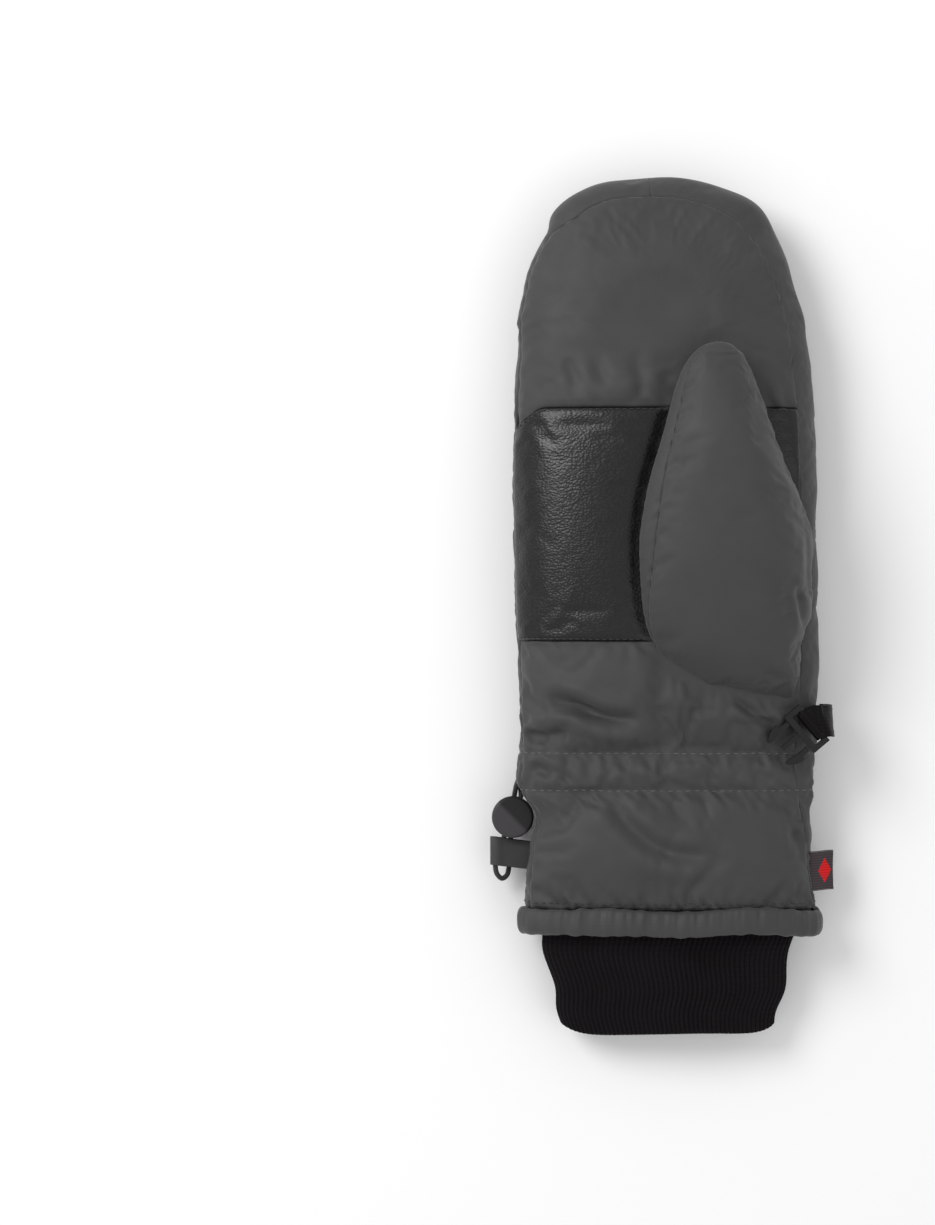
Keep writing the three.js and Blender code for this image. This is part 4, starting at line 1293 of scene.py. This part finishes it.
def cuff_path():
    """The knit's way down outside, round its fold and up inside: Y, and how far inside the outline."""
    turn = np.radians(np.linspace(0, 180, 9)[1:-1])
    radius = CUFF_THICK / 2
    outer = np.column_stack([np.linspace(CUFF_TOP, CUFF_FOLD, 52), np.zeros(52)])
    fold = np.column_stack([CUFF_FOLD - radius * np.sin(turn), radius - radius * np.cos(turn)])
    inner = np.column_stack([np.linspace(CUFF_FOLD, CUFF_INNER_TOP, 26), np.full(26, CUFF_THICK)])
    return np.concatenate([outer, fold, inner])


def cuff_round():
    """Points at even steps round the cuff, from -1 to 1 each way, their distance round it, and its ribs."""
    angle = np.linspace(0, 2 * np.pi, 1441)
    c, d = squared(np.cos(angle), 2 / CUFF_BULGE), squared(np.sin(angle), 2 / CUFF_BULGE)
    run = np.r_[0, np.cumsum(np.hypot(45 * np.diff(c), 9.5 * np.diff(d)))]
    even = np.linspace(0, run[-1], 8 * RIBS, endpoint=False)
    rib = squared(np.cos(2 * np.pi * RIBS * even / run[-1]), 0.7)
    return np.interp(even, run, c), np.interp(even, run, d), even, rib


def knit_cuff():
    """A ribbed tube, folded back inside itself at its lower edge."""
    c, d, even, rib = cuff_round()
    rows = []
    for y, inset in cuff_path():
        left, right, palm, back = (float(through(CUFF, y, k)) for k in (1, 2, 3, 4))
        centre, half, middle = (left + right) / 2, (right - left) / 2, (palm + back) / 2
        lift = step_up(y, -150, -167)
        depth = RIB_DEPTH * (1 - 0.6 * (inset > 1)) * rib
        x = centre + c * (half - inset) + 0.5 * c * depth
        z = middle + d * ((palm - back) / 2 - inset) + d * depth
        wave = 0.5 * np.sin(x / 15 + 0.6) * (d > 0) + 1.1 * np.abs(c) ** 7
        rows.append(np.column_stack([x, y + lift * (wave + 2.4 * np.abs(c) ** 9), z]))
    grid = np.array(rows)
    grid[..., 2] += 0.5 * swell(grid, 34, 51) * step_up(grid[..., 2], 2.5, 6)
    grid[..., 0] += 0.35 * ripple(grid[..., 1], 18, 52)
    flat = np.stack([np.broadcast_to(even, grid.shape[:2]), grid[..., 1]], -1)
    grid_piece("cuff_knit", grid, MATERIALS["knit"], "hand", ["knit_cuff"], "rib_knit", uv=flat, flip=True,
               wrap_rows=True)


# ------------------------------------------------------------------ emblem and label
EMBLEM_RING, EMBLEM_INNER_RING, EMBLEM_FLAKE = 16.5, 14.3, 11.5  # radii
EMBLEM_SEAM = 3.2  # its stitching lies this far inside its edge
LABEL_GAP = 0.42  # half the distance between the folded label's two sides


def snowflake(radius):
    """The strokes of a plain six-armed snow crystal."""

    def heading(degrees):
        return np.array([math.cos(math.radians(degrees)), math.sin(math.radians(degrees))])

    strokes = []
    for arm in range(30, 390, 60):
        out = heading(arm)
        strokes.append((np.zeros(2), out * radius))
        for share, length in ((0.45, 0.26), (0.72, 0.2)):
            root = out * radius * share
            for side in (-50, 50):
                strokes.append((root, root + heading(arm + side) * length * radius))
    return strokes


def rounded(x, y, half_x, half_y, radius):
    """Pulls the corners of a rectangle of points in to an arc."""
    over_x, over_y = np.abs(x) - (half_x - radius), np.abs(y) - (half_y - radius)
    corner = (over_x > 0) & (over_y > 0)
    largest = np.maximum(over_x, over_y)
    shrink = np.where(corner, largest / np.maximum(np.hypot(over_x, over_y), 1e-9), 1.0)
    new_x = np.where(corner, np.sign(x) * (half_x - radius + over_x * shrink), x)
    new_y = np.where(corner, np.sign(y) * (half_y - radius + over_y * shrink), y)
    return new_x, new_y


def emblem_relief(x, y, half):
    """How far the patch's face is pressed in, from its raised strokes to the groove along its edge."""
    middle = np.hypot(x, y)
    points = np.stack([x, y], -1)
    flake = np.minimum.reduce([to_segment(points, a, b)[0] for a, b in snowflake(EMBLEM_FLAKE)])
    raised = np.maximum.reduce([1 - step_up(np.abs(middle - EMBLEM_RING), 0.5, 0.85),
                                0.8 * (1 - step_up(np.abs(middle - EMBLEM_INNER_RING), 0.2, 0.5)),
                                1 - step_up(flake, 0.55, 0.9)])
    edge = np.minimum(half[0] - np.abs(x), half[1] - np.abs(y))
    return 0.45 - 0.42 * raised + 0.25 * fade(edge - EMBLEM_SEAM, 0.7) + 0.55 * fade(edge, 0.7)


def emblem():
    """The sewn patch on the back: a ring round a snow crystal, embossed, facing down."""
    low, high = cad_box("back_emblem_patch")
    middle, half = (low + high) / 2, (high - low) / 2
    spans = [np.linspace(-size, size, count) for size, count in zip(half, (190, 182))]
    x, y = rounded(*np.meshgrid(*spans, indexing="ij"), half[0], half[1], 2.5)
    grid = np.stack([middle[0] + x, middle[1] + y, low[2] + emblem_relief(x, y, half)], -1)
    obj = grid_piece("emblem_tile", grid, MATERIALS["emblem"], "hand", ["back_emblem_patch"], "emblem",
                     flip=True)
    thicken(obj, 1.0)
    seam = emblem_seam(half - EMBLEM_SEAM, 2) + (middle[0], middle[1], low[2] + 0.62)
    emblem_stitches(at_length(seam, np.linspace(0, run_along(seam)[-1], 160)))


def emblem_seam(half, radius):
    """A closed rectangle with round corners."""
    outline = []
    for k, (sx, sy) in enumerate(((1, 1), (-1, 1), (-1, -1), (1, -1))):
        for a in np.radians(np.arange(0, 91, 15)) + k * np.pi / 2:
            outline.append((sx * (half[0] - radius) + radius * math.cos(a),
                            sy * (half[1] - radius) + radius * math.sin(a), 0))
    return np.array(outline + outline[:1])


def emblem_stitches(path):
    """The patch's stitching faces the table, so it is made above it and turned over."""
    turned_over = path * (1, 1, -1) + (0, 0, 10)
    up = np.tile((0, 0, 1.0), (len(path), 1))
    obj = stitches("emblem_stitching", turned_over, up, MATERIALS["dark_thread"], None,
                   2.6, 1.9, 0.24, 0.2, 6)
    for vertex in obj.data.vertices:
        vertex.co.z = 10 * MM - vertex.co.z
    obj.data.flip_normals()
    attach(obj, "hand")


def label():
    """A woven tag folded in half, sewn into the side seam."""
    low, high = cad_box("side_label")
    far, near = high[0] - 0.3, low[0] - 2.2
    turn = np.radians(np.linspace(90, -90, 9))
    run = np.linspace(near, far, 26)
    fold = np.column_stack([far + LABEL_GAP * np.cos(turn), LABEL_GAP * np.sin(turn)])[1:-1]
    path = np.concatenate([np.column_stack([run, np.full(26, LABEL_GAP)]), fold,
                           np.column_stack([run[::-1], np.full(26, -LABEL_GAP)])])
    across = np.linspace(low[1], high[1], 44)
    out = step_up(path[:, :1], near, far)
    middle = (low[2] + high[2]) / 2
    bow = 0.5 * np.sin((path[:, :1] - near) / (far - near) * 2.6) + 0.35 * np.cos((across - middle) / 5)
    grid = np.empty((len(path), len(across), 3))
    grid[..., 0] = path[:, :1] - 0.25 * np.sin((across - low[1]) / (high[1] - low[1]) * np.pi) * out
    grid[..., 1] = across + 0.3 * out
    grid[..., 2] = middle + path[:, 1:] + bow - 0.2 + 5.5 * (1 - out)
    length = run_along(path)
    obj = grid_piece("label_tag", grid, label_weave(length[-1] / 2), "hand", ["side_label"], "label",
                     uv=flat_layout(length, across - across.mean()), flip=True)
    thicken(obj, 0.3)


def label_weave(fold):
    """Dark satin with a red woven diamond on each side of the fold."""
    s = Shader("label", (0.047, 0.036, 0.04), 0.6, Specular_IOR_Level=0.2)
    split = s.split("UV")
    from_fold = s.math("ABSOLUTE", s.math("SUBTRACT", split["X"], fold * MM))
    step = 0.45 * MM
    across = s.math("SNAP", s.math("ABSOLUTE", s.math("SUBTRACT", from_fold, 3.7 * MM)), step)
    up = s.math("SNAP", s.math("ABSOLUTE", split["Y"]), step)
    size = s.math("ADD", s.math("MULTIPLY", across, 1.7), up)
    inside = s.math("LESS_THAN", size, 4.1 * MM)
    border = s.math("GREATER_THAN", up, 6.9 * MM)
    thread_lines = s.wave(0.5, "Y")
    red = s.ramp(thread_lines, (0.5, 0.004, 0.007), (0.72, 0.008, 0.012))
    dark = s.ramp(thread_lines, (0.038, 0.029, 0.033), (0.056, 0.044, 0.049))
    edged = s.mix(border, dark, (0.11, 0.1, 0.105, 1))
    s.set_color(s.mix(inside, edged, red))
    s.bump((thread_lines, 0.4, 0.1))
    return s.material


# ------------------------------------------------------------------ strap and buckle
STRAP_WIDTH, STRAP_THICK, STRAP_Y = 12.5, 1.1, -44.0
BAR = (57.0, -45.1, 34.2)
BAR_TURN = 220.0
BAR_REACH = 2.05
STRAP_RIB = 1.5  # from one rib of the webbing to the next
# X and level of the webbing's middle on its way out to the bar and back.
STRAP_OUT = [(62.1, 15.2), (64, 17), (65.2, 21), (65.3, 27), (64.1, 31.6), (61.4, 35)]
STRAP_BACK = [(60.9, 32), (62.7, 29.4), (63.6, 26), (63.4, 21.5), (62.9, 18.7), (62.1, 16.8)]
BUCKLE_EDGE = 0.35


def strap_line():
    """The webbing's middle from the seam round the bar and back, and how far it has turned to the bar."""
    turn = math.radians(BAR_TURN)
    round_bar = []
    for angle in np.radians((130, 90, 45, 0, -45, -90, -130)):
        reach = BAR_REACH * math.cos(angle)
        round_bar.append((BAR[0] + reach * math.cos(turn), BAR[1] + reach * math.sin(turn),
                          BAR[2] + BAR_REACH * math.sin(angle)))
    out, back = ([(x, STRAP_Y, z) for x, z in side] for side in (STRAP_OUT, STRAP_BACK))
    shares = [0, 0, 0, 0.1, 0.4, 0.8] + [1] * 7 + [0.8, 0.4, 0.1, 0, 0, 0]
    line = smooth_line(np.column_stack([out + round_bar + back, shares]), 150)
    return line[:, :3], line[:, 3]


def strap():
    """A doubled webbing strap, out of the side seam, round the buckle's bar and back."""
    path, share = strap_line()
    angle = np.radians(np.clip(share, 0, 1) * (BAR_TURN - 180))
    across = np.column_stack([-np.sin(angle), np.cos(angle), np.zeros(len(angle))])
    out_of = unit(np.cross(np.gradient(path, axis=0), across))
    across = unit(np.cross(out_of, np.gradient(path, axis=0)))
    around = np.linspace(0, 2 * np.pi, 40, endpoint=False)
    wide = squared(np.cos(around), 0.3) * STRAP_WIDTH / 2
    thick = squared(np.sin(around), 0.5) * STRAP_THICK / 2 * (1 + 0.14 * np.cos(wide * 2 * np.pi / STRAP_RIB))
    grid = path[:, None] + wide[:, None] * across[:, None] + thick[:, None] * out_of[:, None]
    grid_piece("strap_webbing", grid, MATERIALS["webbing"], "strap", ["buckle_strap"], "webbing",
               uv=flat_layout(run_along(path), wide), wrap_rows=True)


def finish_buckle(name):
    """Gives a buckle's CAD node its plastic, and the rounded edges of a moulded part."""
    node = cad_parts[name]
    node.data.materials.clear()
    node.data.materials.append(MATERIALS["plastic"])
    bevel = node.modifiers.new("rounded", "BEVEL")
    bevel.width = BUCKLE_EDGE * MM
    bevel.segments = 3
    bevel.limit_method = "ANGLE"
    bevel.angle_limit = math.radians(35)
    bevel.harden_normals = False
    for polygon in node.data.polygons:
        polygon.use_smooth = True
    node.modifiers.new("normals", "WEIGHTED_NORMAL").keep_sharp = True


# ------------------------------------------------------------------ drawcord, lock and tab
CORD_DIAMETER = 2.0
LOCK = (-58.0, -82.0)
LOCK_LEAN = -14.0
LOCK_EDGE = 0.35
CAP_RADIUS, CAP_LEVEL = 8.2, 15.9
SPRING_RADIUS, SPRING_FOOT, SPRING_HEIGHT, SPRING_TURNS = 3.4, 2.8, 3.6, 3
# The loop's way from the casing through the lock, round in the tab and back.
CORD_ROUTE = [
    (-56, -68, 13.6), (-56.7, -70.4, 11.8), (-57.3, -73.8, 9.8), (-58, -76.8, 9.5),
    (-59.26, -81.7, 9.5), (-60.4, -86.2, 9.5), (-61.8, -91.4, 9.6), (-63.3, -93.2, 10.8),
    (-64.5, -95, 11.8), (-64.8, -98.4, 11.9), (-64.8, -101.2, 11.9), (-64.2, -104.4, 11.2),
    (-62.2, -106.4, 9.9), (-60.2, -105.2, 8.4), (-59.4, -102, 7.5), (-59.2, -98, 7.5),
    (-59.3, -93.6, 8.6), (-58.7, -90.4, 9.5), (-57.7, -86.4, 9.5), (-56.74, -82.3, 9.5),
    (-55.5, -77.5, 9.5), (-54.8, -74.6, 9.5), (-54.8, -72, 9.6), (-55.2, -69.4, 9.8),
]


def catmull_rom(points, steps):
    """A centripetal Catmull-Rom curve through points, as the CAD draws it."""
    points = np.asarray(points, float)
    points = np.concatenate([2 * points[:1] - points[1:2], points, 2 * points[-1:] - points[-2:-1]])
    curve = []
    for p0, p1, p2, p3 in zip(points, points[1:], points[2:], points[3:]):
        t0 = 0.0
        t1, t2, t3 = np.cumsum([np.linalg.norm(b - a) ** 0.5 for a, b in ((p0, p1), (p1, p2), (p2, p3))])
        for t in np.linspace(t1, t2, steps, endpoint=False):
            a1 = (t1 - t) / (t1 - t0) * p0 + (t - t0) / (t1 - t0) * p1
            a2 = (t2 - t) / (t2 - t1) * p1 + (t - t1) / (t2 - t1) * p2
            a3 = (t3 - t) / (t3 - t2) * p2 + (t - t2) / (t3 - t2) * p3
            b1 = (t2 - t) / (t2 - t0) * a1 + (t - t0) / (t2 - t0) * a2
            b2 = (t3 - t) / (t3 - t1) * a2 + (t - t1) / (t3 - t1) * a3
            curve.append((t2 - t) / (t2 - t1) * b1 + (t - t1) / (t2 - t1) * b2)
    curve.append(points[-2])
    return np.array(curve)


def drawcord():
    """The loop of cord outside the wrist, as one curve."""
    route = catmull_rom(CORD_ROUTE, 8)
    curve = bpy.data.curves.new("drawcord", "CURVE")
    curve.dimensions = "3D"
    curve.bevel_depth = CORD_DIAMETER / 2 * MM
    curve.bevel_resolution = 5
    curve.use_fill_caps = True
    spline = curve.splines.new("POLY")
    spline.points.add(len(route) - 1)
    for point, place in zip(spline.points, route):
        point.co = (*(place * MM), 1)
    spline.use_smooth = True
    curve.materials.append(MATERIALS["cord"])
    obj = bpy.data.objects.new("drawcord", curve)
    bpy.context.scene.collection.objects.link(obj)
    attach(obj, "hand")
    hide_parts("drawcord_loop")


def turned(section, sides=72):
    """A shape turned about the lock's own axis, from (radius, level)."""
    angle = np.linspace(0, 2 * np.pi, sides, endpoint=False) + math.radians(LOCK_LEAN)
    radius = section[:, :1] * np.ones(sides)
    return np.stack([LOCK[0] + radius * np.cos(angle), LOCK[1] + radius * np.sin(angle),
                     np.broadcast_to(section[:, 1:2], radius.shape)], -1)


def soften(section):
    """Rounds the corners of a turned section."""
    section = np.asarray(section, float)
    out = [section[0]]
    for before, corner, after in zip(section, section[1:], section[2:]):
        a, b = before - corner, after - corner
        reach = min(LOCK_EDGE, 0.45 * np.linalg.norm(a), 0.45 * np.linalg.norm(b))
        start, end = corner + unit(a) * reach, corner + unit(b) * reach
        for t in (0, 0.25, 0.5, 0.75, 1):
            out.append((1 - t) ** 2 * start + 2 * t * (1 - t) * corner + t * t * end)
    out.append(section[-1])
    return np.array(out)


def lock_barrel():
    """The lock's body, an open cup."""
    section = soften([(0, 1), (3.6, 1), (5.4, 1.9), (6.2, 4), (6.2, 11.2), (5.5, 12.2), (4.75, 12.2),
                      (4.75, 2.2), (0, 2.2)])
    grid_piece("lock_barrel", turned(section), MATERIALS["plastic"], "cord_lock", ["cord_lock_body"],
               "black_plastic", wrap_rows=True)


def lock_button():
    """The plunger under a wide cap, whose top falls away to both sides of a ridge."""
    sides = 96
    section = soften([(0, 7), (4.4, 7), (4.4, 14.9), (7.7, 14.9), (CAP_RADIUS, CAP_LEVEL - 0.7),
                      (CAP_RADIUS, CAP_LEVEL)])
    angle = np.linspace(0, 2 * np.pi, sides, endpoint=False) + math.radians(LOCK_LEAN)
    crown = []
    for share in np.linspace(0.985, 0, 24):
        x, y = CAP_RADIUS * share * np.cos(angle), CAP_RADIUS * share * np.sin(angle)
        ridge = np.abs(x + y) / math.sqrt(2)
        rim = 0.45 * step_up(share, 0.985, 0.9)
        level = 15.95 + rim + 0.9 * (1 - np.sqrt(ridge**2 + 0.25) / 7.6) - 0.1
        crown.append(np.stack([LOCK[0] + x, LOCK[1] + y, np.minimum(level, 17.3)], -1))
    grid_piece("lock_button", np.concatenate([turned(section, sides), np.array(crown)]), MATERIALS["disc"],
               "lock_button", ["cord_lock_button"], "black_plastic", wrap_rows=True)


def lock_spring():
    """The coil under the plunger."""
    turn = np.linspace(0, SPRING_TURNS * 2 * np.pi, 180)
    rise = SPRING_FOOT + SPRING_HEIGHT * np.linspace(0, 1, 180)
    lean = math.radians(LOCK_LEAN)
    coil = np.column_stack([LOCK[0] + SPRING_RADIUS * np.cos(turn + lean),
                            LOCK[1] + SPRING_RADIUS * np.sin(turn + lean), rise])
    spring = grid_piece("lock_spring", tube_grid(coil, 0.3, 10), MATERIALS["steel"], "cord_lock",
                        ["cord_lock_spring"], "spring_steel", wrap_rows=True)
    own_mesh(spring)


TAB_LOW, TAB_HIGH = -103.0, -92.0
TAB_ROOT, TAB_FOLD, TAB_LEVEL, TAB_TURN = -49.2, -64.8, 11.9, 1.75


def tab_path():
    """The strip's way under the cord, round its fold and back over: X and level."""
    under = [(TAB_ROOT, TAB_LEVEL - TAB_TURN), ((TAB_ROOT + TAB_FOLD) / 2, TAB_LEVEL - TAB_TURN)]
    fold = [(TAB_FOLD + TAB_TURN * math.cos(a), TAB_LEVEL + TAB_TURN * math.sin(a))
            for a in np.radians((-90, -135, -180, -225, -270))]
    over = [(-61.3, TAB_LEVEL + 0.9), (TAB_ROOT, TAB_LEVEL - TAB_TURN + 1.0)]
    return smooth_line(under + fold + over, 70)


def tab():
    """A folded strip of the shell's fabric that holds the loop's end."""
    path = tab_path()
    across = np.linspace(TAB_LOW, TAB_HIGH, 26)
    sag = 0.35 * np.sin((across - TAB_LOW) / (TAB_HIGH - TAB_LOW) * np.pi)
    grid = np.empty((len(path), len(across), 3))
    grid[..., 0] = path[:, :1]
    grid[..., 1] = across + 2.0 * (TAB_ROOT - path[:, :1]) / (TAB_ROOT - TAB_FOLD)
    grid[..., 2] = path[:, 1:] + sag * np.sin(np.linspace(0, np.pi, len(path)))[:, None]
    grid[..., 2] -= 0.8 * step_up(across, TAB_HIGH - 4, TAB_HIGH)
    length = run_along(path)
    obj = grid_piece("tab_strip", grid, MATERIALS["shell"], "hand", ["drawcord_tab"], "shell_fabric",
                     uv=flat_layout(length, across))
    thicken(obj, 0.6, offset=0)
    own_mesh(obj)


make_camera()
make_stage()

MATERIALS = {
    "shell": shell_fabric(), "lining": lining_fabric(), "fill": fibre_fill(), "knit": rib_knit(),
    "leather": pebbled_leather(), "emblem": emblem_rubber(), "webbing": webbing(), "plastic": black_plastic(),
    "cord": braided_cord(), "steel": spring_steel(), "disc": disc_plastic(),
    "pale_thread": thread("pale_thread", (0.088, 0.088, 0.09)),
    "dark_thread": thread("dark_thread", (0.02, 0.018, 0.02)),
}

drawcord()
hand = hand_detail(hand_cloth())
hand_normals = hand_pieces(hand)
hand_layers()
hand_stitching(hand, hand_normals)
thumb = thumb_detail(thumb_cloth())
thumb_pieces(thumb)
thumb_layers()
hem_roll()
knit_cuff()
emblem()
label()
strap()
for name in ("buckle_frame", "buckle_prong_left", "buckle_prong_right"):
    finish_buckle(name)
lock_barrel()
lock_button()
lock_spring()
tab()
